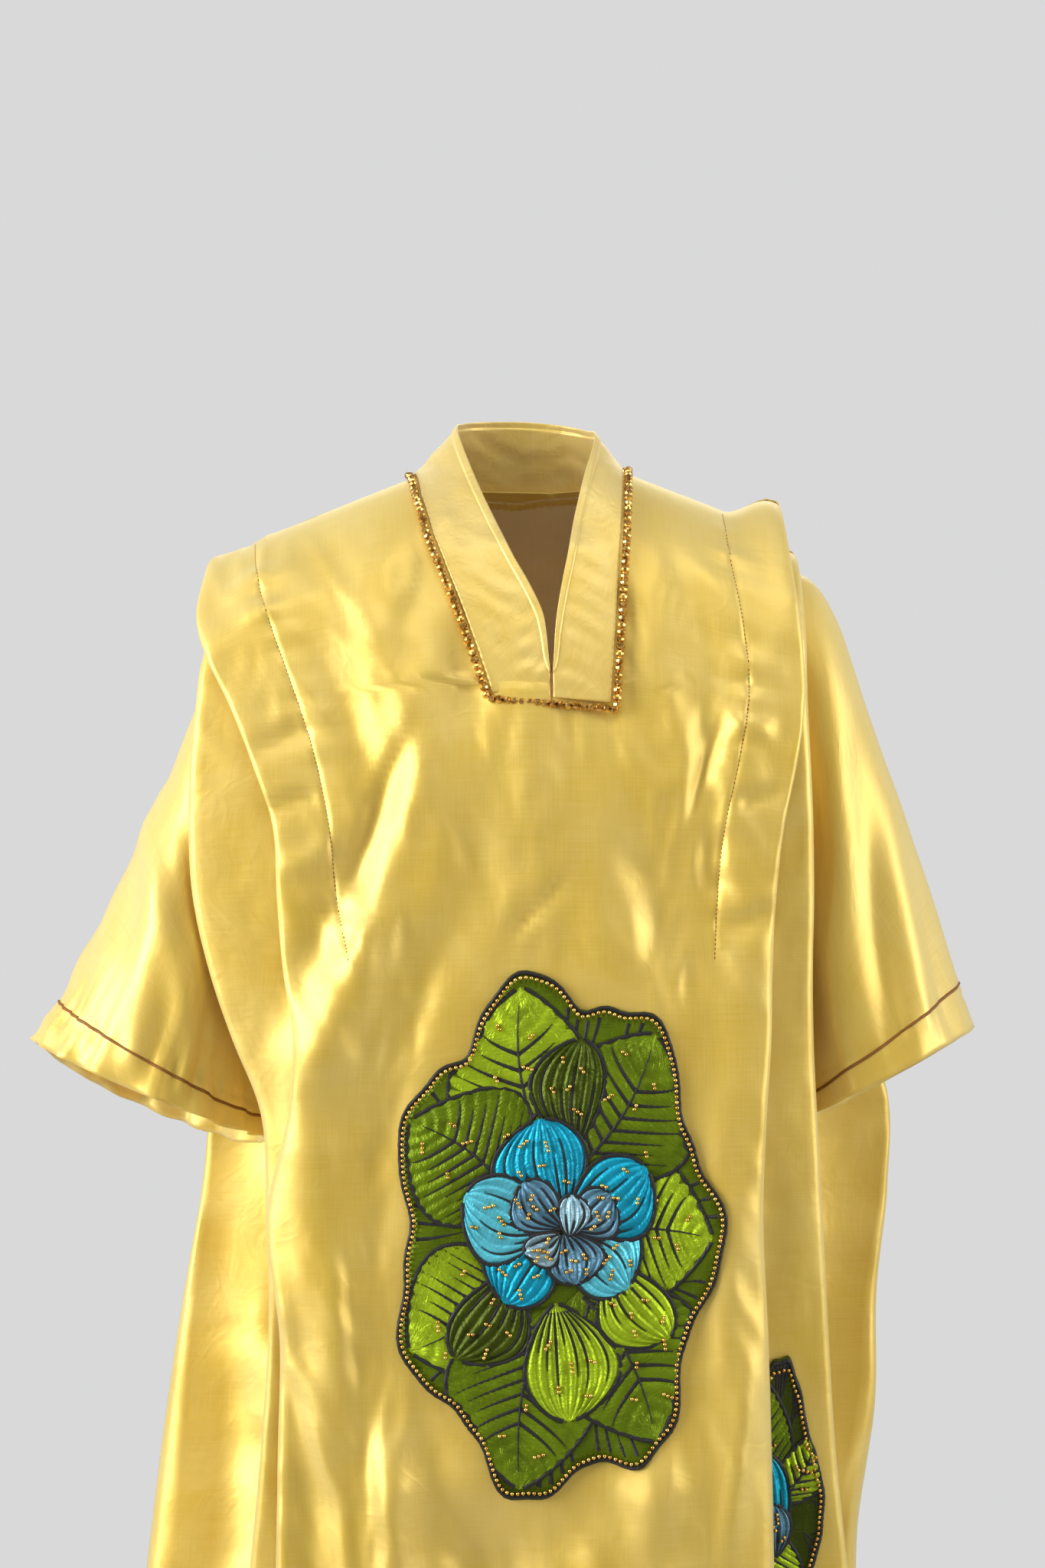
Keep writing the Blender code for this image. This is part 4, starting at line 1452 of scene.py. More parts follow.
@dataclass
class Sleeve:
    """Bell sleeve with a turned hem and a gathered line of stitching."""

    form: BodyForm
    name: str
    side: Side
    rise: float
    fall: float
    pucker: float
    around: int = 112
    along: int = 76
    pucker_count: int = 31
    pucker_reach: tuple[float, float] = (0.024, 0.016)
    pucker_fade: float = 0.020
    groove: float = 0.0012
    groove_width: float = 0.0025
    seam_step: float = 0.0029
    under_rate: float = 1.6
    pucker_wavers: tuple[tuple[float, int], ...] = ((1.9, 3), (1.1, 7))
    pucker_even: float = 0.65
    pucker_swell: int = 5
    edge_share: float = 0.9
    edge_lead: float = 0.6
    soft: float = 0.0034
    soft_size: float = 0.060
    soft_slant: float = 0.3
    soft_end: float = 0.34
    soft_fade: float = 0.20
    back_share: float = 0.6
    crease_share: float = 1.4
    wall: float = 0.0009
    rings: Array = field(init=False)

    def __post_init__(self) -> None:
        """Work out the grid of points."""
        keys = self._keys()
        grid = through(keys, np.linspace(0.0, len(keys) - 1, self.along + 1))
        outward = normals_of(grid)
        middle = grid.mean(axis=1, keepdims=True)
        outward *= np.sign(np.sum(outward * (grid - middle), axis=(1, 2)))[:, None, None]
        self.rings = grid + outward * self._relief(grid)[..., None]

    def _turns(self) -> Array:
        """Angles round the sleeve: 0 on its outer line, and a half turn at the underarm."""
        return 2 * np.pi * np.arange(self.around + 1) / self.around

    def _keys(self) -> Array:
        """Rings of the size table, from the armhole, just inside its edge, to the hem.

        Returns:
            A row of points for each ring.
        """
        turn, hand, (armhole, *table) = self._turns(), self.side.value, SLEEVE_RINGS[self.side]
        share = (1 + np.cos(turn)) / 2
        sag = np.where(np.sin(turn) >= 0, self.rise, -self.fall) * np.abs(np.sin(turn))
        keys = [self._armhole(turn, armhole)]
        for number, ring in enumerate(table, 1):
            keys.append(np.stack([hand * mix(ring.inner_x, ring.outer_x, share), -ring.depth * np.sin(turn),
                                  mix(ring.inner_z, ring.outer_z, share) + sag * (number / len(table)) ** 2],
                                 axis=-1))
        return np.array(keys)

    def _armhole(self, turn: Array, ring: Ring) -> Array:
        """First ring: the armhole's edge, stepped in by a seam.

        Args:
            turn: Angles round the sleeve.
            ring: The table's first ring.

        Returns:
            Points of the ring.
        """
        front = turn <= np.pi
        level = self.form.armhole_level * np.where(front, turn, 2 * np.pi - turn) / np.pi
        points = np.where(front[:, None], self.form.seam(level, self.side, Face.FRONT),
                          self.form.seam(level, self.side, Face.BACK))
        middle_z = (ring.outer_z + ring.inner_z) / 2
        inward = unit(points * (1, 0, 0) + (0, 0, middle_z) - points)
        below = np.clip(-self.under_rate * np.cos(turn), 0.0, 1.0)[:, None] * (self.side.value, 0, 0)
        return points + (inward + below) * self.seam_step

    def _relief(self, grid: Array) -> Array:
        """Creases, the gathers along the hem's stitching and the waves of its edge.

        Args:
            grid: Points of the smooth sleeve.

        Returns:
            Lift of the cloth at each point.
        """
        turn = self._turns()[None, :]
        x, y, z = np.moveaxis(grid, -1, 0)
        to_hem = np.linalg.norm(grid - grid[-1:], axis=2)
        off_stitch = to_hem - HEM_WIDTH
        start = 2.0 * self.side.value
        (slow, slow_rate), (fast, fast_rate) = self.pucker_wavers
        phase = (self.pucker_count * turn + slow * np.sin(slow_rate * turn + start)
                 + fast * np.sin(fast_rate * turn))
        size = self.pucker_even + (1 - self.pucker_even) * np.sin(self.pucker_swell * turn + start)
        reach = np.where(off_stitch > 0, *self.pucker_reach)
        gather = self.pucker * size * np.sin(phase) * np.exp(-np.abs(off_stitch) / reach)
        pinch = self.groove * bell(off_stitch, self.groove_width)
        edge = self.edge_share * self.pucker * np.sin(0.5 * phase + self.edge_lead)
        edge = edge * np.exp(-to_hem / self.pucker_fade)
        calm = ease((self.soft_end - to_hem) / self.soft_fade)
        seed_of_side = Seed.SLEEVE + self.side.value
        slant = self.soft_slant * z
        soft = self.soft * calm * ripple(x + slant, slant - 0.5 * y, self.soft_size, seed_of_side)
        front = mix(self.back_share, 1.0, ease(0.5 + 4 * np.sin(turn)))
        creases = self.crease_share * front * relief(SLEEVE_CREASES[self.side], x, z)
        return gather - pinch + edge + soft + creases

    def build(self, finish: Material) -> Piece:
        """Build the sleeve's tube and its wall.

        Args:
            finish: Its material.

        Returns:
            The piece.
        """
        tube = welded(grid_mesh(self.rings))
        piece = add_piece(self.name + "_cloth", tube, finish, self.wall)
        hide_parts(self.name)
        return piece

    def hem_line(self) -> Array:
        """Points of the hem's stitching, round the sleeve."""
        to_hem = np.linalg.norm(self.rings - self.rings[-1:], axis=2).mean(axis=1)
        return self.rings[int(np.argmin(np.abs(to_hem - HEM_WIDTH))), :-1]


@dataclass
class Cord:
    """Round cord or line of stitches through points."""

    name: str
    radius: float
    sides: int = 6

    def build(self, runs: Sequence[Array], finish: Material, slot: str, stitch: float = 0.0,
              space: float = 0.0, closed: bool = False) -> Piece:
        """Build the cord as a tube, or as stitches if they have a length.

        Args:
            runs: Lines of points.
            finish: Material.
            slot: Not used.
            stitch: Length of a stitch, or zero for a plain tube.
            space: Gap between stitches.
            closed: Whether each line joins its start.

        Returns:
            The piece.
        """
        parts = []
        for run in runs:
            if stitch:
                starts = np.arange(0.0, distances(run)[-1] - stitch, stitch + space)
                ends = zip(on_line(run, starts), on_line(run, starts + stitch))
                parts.append(copies(4, 1.0, [self._grain(start, end) for start, end in ends], self.sides))
            else:
                parts.append(self._tube(run, closed))
        return add_piece(self.name, joined(parts), finish)

    def _grain(self, start: Array, end: Array) -> Matrix:
        """Place and shape of one stitch, a long grain between two points.

        Args:
            start: The first point.
            end: The second point.

        Returns:
            What a ball of radius 1 is moved by.
        """
        run = end - start
        shape = Matrix.Diagonal((self.radius, self.radius, np.linalg.norm(run) / 2, 1.0))
        return aimed((start + end) / 2, run) @ shape

    def _tube(self, run: Array, closed: bool) -> Mesh:
        """Tube through a line of points.

        Args:
            run: The points.
            closed: Whether the line joins its start.

        Returns:
            The tube.
        """
        line = np.concatenate([run, run[:1]]) if closed else run
        along = np.gradient(line, axis=0)
        if closed:
            along[0] = along[-1] = line[1] - line[-2]
        along = unit(along)
        side = unit(np.cross(along, (0.0, 0.3, 1.0)))
        up = np.cross(side, along)
        turn = (2 * np.pi * np.arange(self.sides + 1) / self.sides)[None, :, None]
        around = np.cos(turn) * side[:, None] + np.sin(turn) * up[:, None]
        return welded(grid_mesh(line[:, None] + self.radius * around))


@dataclass
class NeckYoke:
    """Wide neck bands that stand up as a collar at the back, with a rolled neck edge."""

    form: BodyForm
    fine: int = 7
    across: int = 20
    seam_points: int = 12
    lie: float = 0.0036
    bulge: float = 0.0012
    roll_width: float = 0.0062
    roll_height: float = 0.0013
    roll_share: float = 1.25
    roll_steps: tuple[float, ...] = (1.10, 1.0, 0.90, 0.70, 0.45, 0.20, 0.0)
    soft: float = 0.0009
    soft_size: float = 0.030
    wall: float = 0.0012
    grid: Array = field(init=False)

    def __post_init__(self) -> None:
        """Work out the grid of points, from the bead line to the neck edge, a row for each section."""
        numbers = np.arange(len(YOKE_ROWS))
        places = np.linspace(0.0, numbers[-1], self.fine * numbers[-1] + 1)
        outer_x, run = (np.interp(places, numbers, column) for column in self.edge().T)
        inner = np.array([(row.inner_x, row.inner_y or 0.0, row.inner_z) for row in YOKE_ROWS])
        lies = np.array([row.inner_y is None for row in YOKE_ROWS], dtype=float)
        laid = self.form.on_front(inner[:, 0], inner[:, 2], self.lie)
        inner = through(np.where(lies[:, None] > 0, laid, inner), places)[:, None]
        outer = self.form.from_run(outer_x, run, self.lie)[:, None]
        width = np.linalg.norm(outer - inner, axis=-1)
        wide = 1 - self.roll_share * self.roll_width / width
        wide = wide * np.linspace(0.0, 1.0, self.across + 1)[None, :]
        rim = 1 - self.roll_width / width * np.array(self.roll_steps)[None, :]
        t = np.concatenate([wide, rim], axis=1)[..., None]
        straight = mix(outer, inner, t)
        away = unit((outer - (self.form.centre_x, 0.0, 0.0)) * (1, 1, 0))
        standing = straight + away * self.bulge * np.sin(np.pi * t)
        flat = self.form.on_front(straight[..., 0], straight[..., 2], self.lie)
        points = mix(standing, flat, ease(np.interp(places, numbers, lies))[:, None, None])
        outward = normals_of(points)
        outward *= np.sign(np.sum(outward * away))
        to_edge = width * (1 - t[..., 0])
        rolled = self.roll_height * ease((self.roll_width - to_edge) / (0.2 * self.roll_width) + 0.5)
        soft = self.soft * ripple(points[..., 0], points[..., 2], self.soft_size, Seed.YOKE)
        soft = soft * np.sin(np.pi * t[..., 0])
        self.grid = points + outward * (rolled + soft)[..., None]

    def edge(self) -> Array:
        """Outer edge as places across and runs from the shoulder line."""
        return np.array([(row.outer_x, self.form.run_of(row.face, row.outer_level)) for row in YOKE_ROWS])

    def build(self, finish: Material) -> Piece:
        """Build the yoke's sheet and its wall.

        Args:
            finish: Its material.

        Returns:
            The piece.
        """
        piece = add_piece("neck_yoke_cloth", grid_mesh(self.grid), finish, self.wall)
        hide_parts("neck_yoke")
        return piece

    def foot_seam(self) -> Array:
        """Line between the bands, from the neck edge's foot to the bead line."""
        z = np.linspace(YOKE_ROWS[0].inner_z, YOKE_ROWS[0].outer_level, self.seam_points)
        return self.form.on_front(np.full(len(z), self.form.centre_x), z, self.lie + self.wall / 2)


@dataclass
class BeadRow:
    """Row of large faceted beads along the yoke's outer edge."""

    form: BodyForm
    yoke: NeckYoke
    pitch: float = 0.0066
    radius: float = 0.0038
    length: float = 1.0528
    sides: int = 6
    size_range: tuple[float, float] = (0.94, 1.04)
    lean: float = 0.12
    set_off: float = 0.0016
    lift: float = 0.0006
    fine: int = 20

    def line(self) -> Array:
        """Line of the beads, round the whole yoke.

        Returns:
            The middle of each bead.
        """
        edge = self.yoke.edge()[1:-1]
        corners = []
        for before, here, after in zip(np.roll(edge, 1, axis=0), edge, np.roll(edge, -1, axis=0)):
            normals = [unit(np.array((-run[1], run[0]))) for run in (here - before, after - here)]
            mitre = sum(normals) / (1 + float(normals[0] @ normals[1]))
            corners.append(here + mitre * (self.radius + self.set_off))
        numbers = np.arange(len(corners) + 1)
        places = np.linspace(0.0, numbers[-1], self.fine * numbers[-1] + 1)
        x, run = (np.interp(places, numbers, column) for column in np.array([*corners, corners[0]]).T)
        fine = self.form.from_run(x, run, self.radius + self.lift)
        whole = distances(fine)[-1]
        return on_line(fine, np.linspace(0.0, whole, round(whole / self.pitch) + 1)[:-1])

    def build(self, finish: Material) -> Piece:
        """Build the beads, each a faceted barrel along the row.

        Args:
            finish: Their material.

        Returns:
            The piece.
        """
        draw = np.random.default_rng(Seed.BEAD_ROW)
        line = self.line()
        places = []
        for place, run in zip(line, np.roll(line, -1, axis=0) - np.roll(line, 1, axis=0)):
            size = self.radius * draw.uniform(*self.size_range)
            shape = Matrix.Diagonal((size, size, self.pitch / 2 * self.length, 1.0))
            twist = Matrix.Rotation(draw.uniform(0, math.pi), 4, "Z")
            lean = Matrix.Rotation(draw.uniform(-self.lean, self.lean), 4, "X")
            places.append(aimed(place, run) @ lean @ twist @ shape)
        piece = add_piece("yoke_beads", copies(self.sides, 1.0, places), finish, smooth=False)
        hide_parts("bead_trim")
        return piece


@dataclass
class FlowerPatch:
    """Satin flower patch: ground, leaves and petals, black stitching and small beads."""

    form: BodyForm
    patch: Patch
    base: float = 0.0030
    order_step: float = 0.0009
    dome: float = 0.0020
    quilt: float = 0.0011
    bundles: int = 15
    bundle_lines: int = 4
    lobe_ripple: float = 0.020
    lobe_ripples: int = 19
    border_width: float = 0.0036
    border_height: float = 0.0015
    border_points: int = 480
    border_inset: float = 0.4
    border_lift: float = 0.6
    outline_width: float = 0.0035
    vein_width: float = 0.0042
    vein_tip: float = 0.0005
    vein_start: float = 0.04
    vein_run: float = 0.64
    vein_slant: float = 0.30
    vein_close: float = 0.12
    fan_spread: float = 1.7
    fan_start: float = 0.08
    fan_reach: Reach = Reach(0.50, 0.24, 2.2)
    vein_reach: Reach = Reach(0.74, 0.16, 1.9)
    vein_taper: float = 1.3
    vein_points: int = 26
    midrib_run: float = 0.86
    midrib_tip: float = 0.0008
    outline_end: float = 0.01
    outline_points: int = 70
    leaf_limit: float = 0.965
    leaf_end: float = 0.15
    base_shade: float = 0.62
    tip_light: float = 0.38
    tip_start: float = 0.6
    cloudiness: float = 0.16
    side_light: float = 0.06
    shade_limits: tuple[float, float] = (0.35, 1.3)
    band_points: int = 7
    band_round: float = 0.98
    ragged: float = 0.16
    ragged_rates: tuple[float, float] = (2.4, 0.83)
    bundle_points: int = 22
    bundle_fill: float = 0.72
    bundle_start: float = 0.95
    bundle_reach: Reach = Reach(0.26, 0.10, 2.1)
    bundle_bend: float = 0.10
    bundle_bend_step: float = 0.05
    leaf_grid: tuple[int, int] = (60, 27)
    fan_grid: tuple[int, int] = (36, 45)
    ground_grid: tuple[int, int] = (12, 145)
    dye_size: float = 0.030
    ground_dye_size: float = 0.05
    ground_shade: float = 0.75
    ground_cloudiness: float = 0.2
    ground_hole: float = 0.02
    hole_edge: float = 0.002
    stitch_height: float = 0.0009
    stitch_lift: float = 0.0002
    bead_radius: float = 0.0018
    bead_pitch: float = 0.0047
    bead_lift: float = 0.0006
    bead_sides: int = 5
    bead_inset: float = 1.05
    least_inset: float = 0.80
    bead_line_points: int = 900
    bead_stray: float = 0.12
    bead_space: float = 2.1
    threes: float = 0.25
    least_beaded: float = 0.03
    bead_places: tuple[tuple[float, float], ...] = (
        (0.34, -0.45), (0.52, 0.40), (0.72, -0.25), (0.80, 0.45), (0.55, -0.02))
    wall: float = 0.0012

    def surface(self, x: Array, z: Array, above: Real) -> Array:
        """Points above the patch's ground."""
        offset = self.base - self.patch.layer * self.form.depths.at(np.asarray(z, float)).gap + above
        return self.form.on_front(x, z, offset)

    def outline(self, turn: Array, share: Real) -> tuple[Array, Array]:
        """Places on the patch's lobed edge, or at a share of the way to it.

        Args:
            turn: Angles round the patch's middle.
            share: Share of the way from the middle to the edge.

        Returns:
            Places across, and heights.
        """
        patch = self.patch
        fine = self.lobe_ripple * np.sin(self.lobe_ripples * turn) * np.sin(3 * turn + 1.0)
        reach = share * (1 + patch.lobe_depth * np.cos(patch.lobes * turn) + fine)
        return (patch.x + patch.half_width * reach * np.cos(turn),
                patch.z + patch.half_height * reach * np.sin(turn))

    def leaf_place(self, leaf: Leaf, t: Array, s: Array) -> tuple[Array, Array]:
        """Place on a leaf, kept inside the patch's border.

        Args:
            leaf: The leaf.
            t: Share of the way along it from its base.
            s: Share of the way across it from its middle, from -1 to 1.

        Returns:
            Places across, and heights.
        """
        patch, (run_x, run_z, length) = self.patch, leaf.run()
        aside = s * leaf.half_width(t) + leaf.bend * length * np.sin(np.pi * t)
        x = leaf.base_x + run_x * t - run_z / length * aside
        z = leaf.base_z + run_z * t + run_x / length * aside
        across, up = x / patch.half_width, z / patch.half_height
        limit = self.leaf_limit * (1 + patch.lobe_depth * np.cos(patch.lobes * np.arctan2(up, across)))
        keep = np.minimum(1.0, limit / np.maximum(np.hypot(across, up), 1e-6))
        return patch.x + x * keep, patch.z + z * keep

    def covered(self, x: Array, z: Array, order: int) -> Array:
        """Whether places lie under a leaf of a higher order.

        Args:
            x: Places across.
            z: Heights.
            order: Order of the leaf that the places are on.

        Returns:
            True for each place that is covered.
        """
        under = np.zeros(np.broadcast(x, z).shape, dtype=bool)
        for leaf in self.patch.leaves:
            if leaf.order <= order:
                continue
            run_x, run_z, length = leaf.run()
            from_x, from_z = x - self.patch.x - leaf.base_x, z - self.patch.z - leaf.base_z
            t = (from_x * run_x + from_z * run_z) / length ** 2
            aside = (from_z * run_x - from_x * run_z) / length - leaf.bend * length * np.sin(np.pi * t)
            under |= (t > 0) & (t < 1) & (np.abs(aside) < leaf.half_width(t))
        return under

    def leaf_height(self, leaf: Leaf, t: Array, s: Array) -> Array:
        """Height of a leaf's cloth above the ground, quilted between its veins.

        Args:
            leaf: The leaf.
            t: Share of the way along it from its base.
            s: Share of the way across it from its middle, from -1 to 1.

        Returns:
            Heights above the ground.
        """
        out = np.abs(s)
        place = (t - self.vein_start - self.vein_slant * out) / (self.vein_run - self.vein_close * out)
        if leaf.fan:
            place = s / self.fan_spread + 0.5
        ripples = -np.cos(2 * np.pi * place * leaf.veins)
        ends = ease(t / self.leaf_end) * ease((1 - t) / self.leaf_end)
        free = np.where(self.covered(*self.leaf_place(leaf, t, s), leaf.order), 0.0, 1.0)
        return leaf.order * self.order_step + free * ends * (self.dome * (1 - s * s) - self.quilt * ripples)

    def leaf_sheet(self, leaf: Leaf) -> Mesh:
        """One leaf's cloth, lighter towards its tip.

        Args:
            leaf: The leaf.

        Returns:
            Its sheet.
        """
        height, width = self.fan_grid if leaf.fan else self.leaf_grid
        t, s = np.linspace(0.0, 1.0, height)[:, None], np.linspace(-1.0, 1.0, width)[None, :]
        x, z = self.leaf_place(leaf, t, s)
        points = self.surface(x, z, self.leaf_height(leaf, t, s))
        flat = np.stack(np.broadcast_arrays(s * leaf.width / 2, t * leaf.width), axis=-1)
        cloudy = ripple(x, z, self.dye_size, Seed.LEAF_DYE + leaf.order)
        shade = (self.base_shade + self.tip_light * ease(t / self.tip_start)
                 + self.cloudiness * cloudy + self.side_light * s)
        shade = np.clip(shade, *self.shade_limits)
        return grid_mesh(points, flat, shade[..., None] * np.array(DYES[leaf.dye]))

    def band(self, x: Array, z: Array, width: Array, above: Real, height: float) -> Mesh:
        """Ridge of satin stitch along a line, ragged at its edges.

        Args:
            x: Places across.
            z: Heights.
            width: Width of the stitching along the line.
            above: Height of the cloth under it.
            height: Height of its ridge.

        Returns:
            The ridge.
        """
        run_x, run_z = np.gradient(x), np.gradient(z)
        size = np.maximum(np.hypot(run_x, run_z), 1e-9)
        s, number = np.linspace(-1.0, 1.0, self.band_points)[None, :], np.arange(len(x))
        fast, slow = self.ragged_rates
        ragged = 1 + self.ragged * np.sin(fast * number) * np.sin(slow * number + 1.0)
        half = (0.5 * width * ragged)[:, None]
        aside_x, aside_z = -(run_z / size)[:, None] * s * half, (run_x / size)[:, None] * s * half
        ridge = height * np.sqrt(1 - self.band_round * s * s)
        lift = np.broadcast_to(above, x.shape)[:, None] + ridge + self.stitch_lift
        return grid_mesh(self.surface(x[:, None] + aside_x, z[:, None] + aside_z, lift))

    def bands(self, x: Array, z: Array, width: Array, above: Array, order: int) -> list[Mesh]:
        """Ridges along the stretches of a line that no higher leaf covers.

        Args:
            x: Places across.
            z: Heights.
            width: Width of the stitching along the line.
            above: Height of the cloth under it.
            order: Order of the leaf that the line is on.

        Returns:
            The ridges.
        """
        shown = np.flatnonzero(~self.covered(x, z, order))
        stretches = np.split(shown, np.flatnonzero(np.diff(shown) > 1) + 1)
        return [self.band(x[part], z[part], width[part], above[part], self.stitch_height)
                for part in stretches if len(part) > 3]

    def leaf_stitching(self, leaf: Leaf) -> list[Mesh]:
        """Outline and veins of a leaf.

        Args:
            leaf: The leaf.

        Returns:
            The ridges of its stitching.
        """
        around = np.linspace(self.outline_end, 1 - self.outline_end, self.outline_points)
        along = np.linspace(0.0, 1.0, self.vein_points)
        parts = []
        for edge in (-1.0, 1.0):
            level = np.full(len(around), leaf.order * self.order_step)
            parts += self.bands(*self.leaf_place(leaf, around, edge + 0 * around),
                                self.outline_width + 0 * around, level, leaf.order)
        thin = mix(self.vein_width, self.vein_tip, along ** self.vein_taper)
        runs = [] if leaf.fan else [(self.vein_start + self.midrib_run * along, 0 * along,
                                     mix(self.vein_width, self.midrib_tip, along))]
        for number in range(leaf.veins):
            place = (number + 0.5) / leaf.veins
            if leaf.fan:
                runs.append((self.fan_start + self.fan_reach.of(number, leaf.order) * along,
                             self.fan_spread * (place - 0.5) + 0 * along, thin))
                continue
            reach = along * self.vein_reach.of(number, leaf.order)
            t = self.vein_start + self.vein_run * place + (self.vein_slant - self.vein_close * place) * reach
            runs += [(t, -reach, thin), (t, reach, thin)]
        for t, s, width in runs:
            parts += self.bands(*self.leaf_place(leaf, t, s), width, self.leaf_height(leaf, t, s), leaf.order)
        return parts

    def ground_stitching(self) -> list[Mesh]:
        """Bundles of curved lines from the border inwards, where no leaf covers the ground.

        Returns:
            The ridges of the stitching.
        """
        along = np.linspace(0.0, 1.0, self.bundle_points)
        width = mix(self.vein_width, self.vein_tip, along ** self.vein_taper)
        parts = []
        for number in range(self.bundles * self.bundle_lines):
            bundle, line = divmod(number, self.bundle_lines)
            start = 2 * np.pi * (bundle + self.bundle_fill * line / self.bundle_lines) / self.bundles
            bend = (self.bundle_bend - self.bundle_bend_step * line) * along ** 2
            x, z = self.outline(start + bend, self.bundle_start - self.bundle_reach.of(number) * along)
            parts += self.bands(x, z, width, 0 * along, 0)
        return parts

    def bead_spots(self) -> list[Array]:
        """Small beads: a row inside the border, and twos and threes on the leaves.

        Returns:
            The middle of each bead.
        """
        inset = max(1 - self.bead_inset * self.border_width / self.patch.half_width, self.least_inset)
        turn = np.linspace(0.0, 2 * np.pi, self.bead_line_points)
        border = np.stack(self.outline(turn, inset), axis=-1)
        places = np.arange(0.0, distances(border)[-1] - self.bead_pitch / 2, self.bead_pitch)
        top = self.order_step + self.bead_radius + self.bead_lift
        spots = list(self.surface(*on_line(border, places).T, top))
        draw = np.random.default_rng(Seed.LEAF_BEADS)
        for leaf in self.patch.leaves:
            for t, s in self.bead_places:
                stray = draw.uniform(-self.bead_stray, self.bead_stray)
                x, z = self.leaf_place(leaf, np.array(t), np.array(s + stray))
                lean = draw.uniform(0, math.pi)
                count = 2 + int(draw.uniform() < self.threes)
                if leaf.width < self.least_beaded or self.covered(x, z, leaf.order):
                    continue
                height = float(self.leaf_height(leaf, np.array(t), np.array(s))) + self.bead_radius
                for i in range(count):
                    step = (i - (count - 1) / 2) * self.bead_space * self.bead_radius
                    spots.append(self.surface(x + step * math.cos(lean), z + step * math.sin(lean), height))
        return spots

    def ground(self) -> Mesh:
        """Dyed cloth under the leaves, a disc of lobed rings.

        Returns:
            Its sheet.
        """
        patch = self.patch
        rings, around = self.ground_grid
        turn = np.linspace(0.0, 2 * np.pi, around)[None, :]
        x, z = self.outline(turn, np.linspace(self.ground_hole, 1.0, rings)[:, None])
        cloudy = ripple(x, z, self.ground_dye_size, Seed.GROUND_DYE)
        shade = self.ground_shade + self.ground_cloudiness * cloudy
        dyes = shade[..., None] * np.array(DYES[patch.ground])
        bm = grid_mesh(self.surface(x, z, 0.0), np.stack([x, z], axis=-1), dyes)
        bmesh.ops.remove_doubles(bm, verts=bm.verts, dist=WELD)
        bmesh.ops.holes_fill(bm, sides=0, edges=[edge for edge in bm.edges if edge.is_boundary
                                                 and edge.calc_length() < self.hole_edge])
        return bm

    def build(self, satin: Material, stitching: Material, beads: Material) -> list[Piece]:
        """Build the patch's pieces.

        Args:
            satin: Material of the cloth.
            stitching: Material of the embroidery.
            beads: Material of the small beads.

        Returns:
            Cloth, leaves, stitching and beads.
        """
        patch = self.patch
        ground = add_piece(patch.name + "_ground", self.ground(), satin, self.wall)
        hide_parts(patch.name)
        leaves = add_piece(patch.name + "_leaves", joined([self.leaf_sheet(leaf) for leaf in patch.leaves]),
                           satin)
        turn = np.linspace(0.0, 2 * np.pi, self.border_points)
        x, z = self.outline(turn, 1 - self.border_inset * self.border_width / patch.half_width)
        lift = self.border_lift * self.order_step
        parts = [self.band(x, z, self.border_width + 0 * turn, lift, self.border_height),
                 *self.ground_stitching()]
        for leaf in patch.leaves:
            parts += self.leaf_stitching(leaf)
        thread = add_piece(patch.name + "_stitching", joined(parts), stitching)
        spots = [Matrix.Translation(Vector(spot)) for spot in self.bead_spots()]
        small = copies(self.bead_sides, self.bead_radius, spots)
        small = add_piece(patch.name + "_beads", small, beads)
        return [ground, leaves, thread, small]


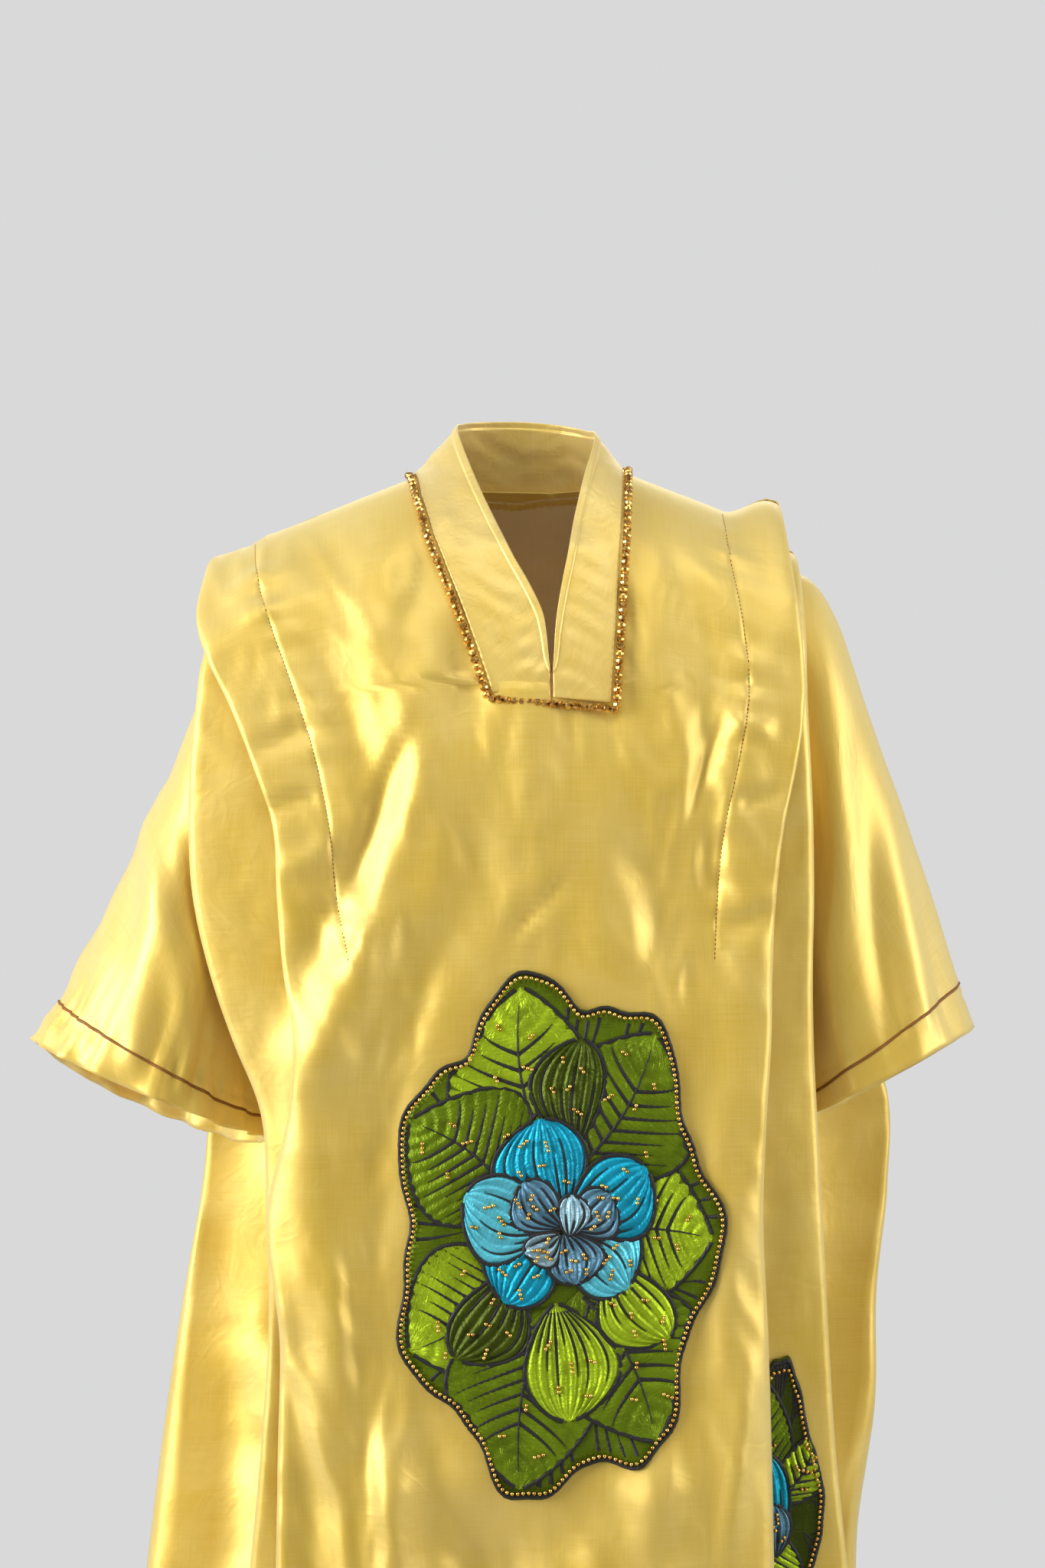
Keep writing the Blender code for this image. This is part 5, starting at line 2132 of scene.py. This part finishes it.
@dataclass
class Studio:
    """Camera, soft lights and plain pale surroundings."""

    camera_place: tuple[float, float, float] = (-0.004, -3.20, -0.280)
    lens: float = 82.0
    sensor: float = 36.0
    aim_level: float = -0.22
    spread: float = math.radians(95)
    floor_level: float = -1.462
    floor_radius: float = 2.0
    backdrop: Colour = (0.72, 0.72, 0.722)
    backdrop_strength: float = 0.965
    ambient: float = 0.54
    soft_boxes: tuple[SoftBox, ...] = (
        SoftBox("left", (-2.1, -0.95, 0.15), (1.3, 2.0), 24.0),
        SoftBox("right", (2.1, -0.75, 0.15), (1.3, 2.0), 11.0),
        SoftBox("above", (0.1, -1.3, 1.9), (1.6, 1.0), 3.8),
        SoftBox("behind", (0.2, 2.4, 1.2), (2.0, 1.6), 5.0),
    )

    def build(self) -> None:
        """Build the camera, the world, the lights and the floor."""
        scene = bpy.context.scene
        scene.view_settings.view_transform = "Standard"
        data = bpy.data.cameras.new("camera")
        data.lens, data.sensor_fit = self.lens, "VERTICAL"
        data.sensor_height = data.sensor_width = self.sensor
        scene.camera = in_scene("camera", data)
        scene.camera.location = self.camera_place
        scene.camera.rotation_euler = (math.pi / 2, 0.0, 0.0)
        self._world()
        for box in self.soft_boxes:
            self._light(box)
        self._floor()

    def _world(self) -> None:
        """Pale surroundings: plain behind the garment, and softer as light on it."""
        world = bpy.data.worlds.new("studio")
        world.use_nodes = True
        bench = Bench(world.node_tree)
        seen = bench.node("ShaderNodeLightPath").outputs["Is Camera Ray"]
        bench.fill(world.node_tree.nodes["Background"],
                   {"Strength": bench.spread(seen, self.ambient, self.backdrop_strength),
                    "Color": (*self.backdrop, 1.0)})
        bpy.context.scene.world = world

    def _light(self, box: SoftBox) -> None:
        """Add a soft box that faces the garment.

        Args:
            box: The soft box.
        """
        data = bpy.data.lights.new("soft_box_" + box.name, "AREA")
        data.shape, data.energy, data.spread = "RECTANGLE", box.power, self.spread
        data.size, data.size_y = box.size
        light = in_scene(data.name, data)
        light.location = box.place
        aim = Vector((0.0, 0.0, self.aim_level)) - Vector(box.place)
        light.rotation_euler = aim.to_track_quat("-Z", "Y").to_euler()

    def _floor(self) -> None:
        """Round pale floor just below the hem."""
        bm = bmesh.new()
        bmesh.ops.create_circle(bm, cap_ends=True, segments=96, radius=self.floor_radius,
                                matrix=Matrix.Translation((0.0, 0.0, self.floor_level)))
        floor = in_scene("floor", bm)
        made, bench, shader = new_material("pale_floor")
        bench.fill(shader, {"Base Color": (*PALE, 1.0), "Roughness": 0.7})
        floor.data.materials.append(made)


def main() -> None:
    """Build and dress the kaftan, piece by piece."""
    logging.basicConfig(level=logging.INFO, format="%(asctime)s %(message)s")
    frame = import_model()
    LOG.info("solids: %s", ", ".join(sorted(frame["nodes"])))
    Studio().build()
    effects = Effects()
    # Each organza goes from a darker amber facing the view to a paler gold at grazing angles: painted shade
    # and sheen
    organza = OrganzaFinish("gold_organza", (0.81, 0.555, 0.075), (1.0, 0.82, 0.32), 0.80).make(effects)
    doubled = OrganzaFinish("doubled_organza", (0.79, 0.550, 0.095), (0.97, 0.80, 0.37), 0.88,
                            crumple=0.040).make(effects)
    satin = SatinFinish("dyed_satin").make(effects)
    black = ThreadFinish("black_stitching", BLACK_THREAD).make(effects)
    orange = ThreadFinish("orange_thread", ORANGE_THREAD).make(effects)
    brown = ThreadFinish("brown_gathering", BROWN_THREAD).make(effects)
    gold = BeadFinish("gold_bead", (0.90, 0.56, 0.16), (0.42, 0.20, 0.04)).make()
    copper = BeadFinish("copper_bead", (0.92, 0.58, 0.17), (0.50, 0.26, 0.05), 0.20).make()

    form = BodyForm()
    panels = (Panel(form, "front", Face.FRONT, FRONT_CUT),
              Panel(form, "back", Face.BACK, BACK_CUT, centre=30, tuck=9, under=4, side=11, side_calm=0.9))
    sleeves = (Sleeve(form, "sleeve_left", Side.LEFT, rise=0.006, fall=0.034, pucker=0.0052),
               Sleeve(form, "sleeve_right", Side.RIGHT, rise=0.009, fall=0.022, pucker=0.0010))
    for sheet in (*panels, *sleeves):
        sheet.build(organza)
    Cord("sleeve_hem_stitching", 0.0016).build([sleeve.hem_line() for sleeve in sleeves], brown,
                                               "organza_body", closed=True)
    yoke = NeckYoke(form)
    yoke.build(doubled)
    BeadRow(form, yoke).build(gold)
    tucks = [panel.stitch_line(side) for panel in panels for side in Side]
    Cord("tuck_stitching", 0.0008).build(tucks, orange, "organza_body", stitch=0.0032, space=0.0007)
    Cord("yoke_seam", 0.0005).build([yoke.foot_seam()], orange, "organza_yoke")
    Cord("hem_stitching", 0.0009).build([line for panel in panels for line in panel.hem_lines()], brown,
                                        "organza_body")
    for patch in PATCHES:
        FlowerPatch(form, patch).build(satin, black, copper)


if __name__ == "__main__":
    main()
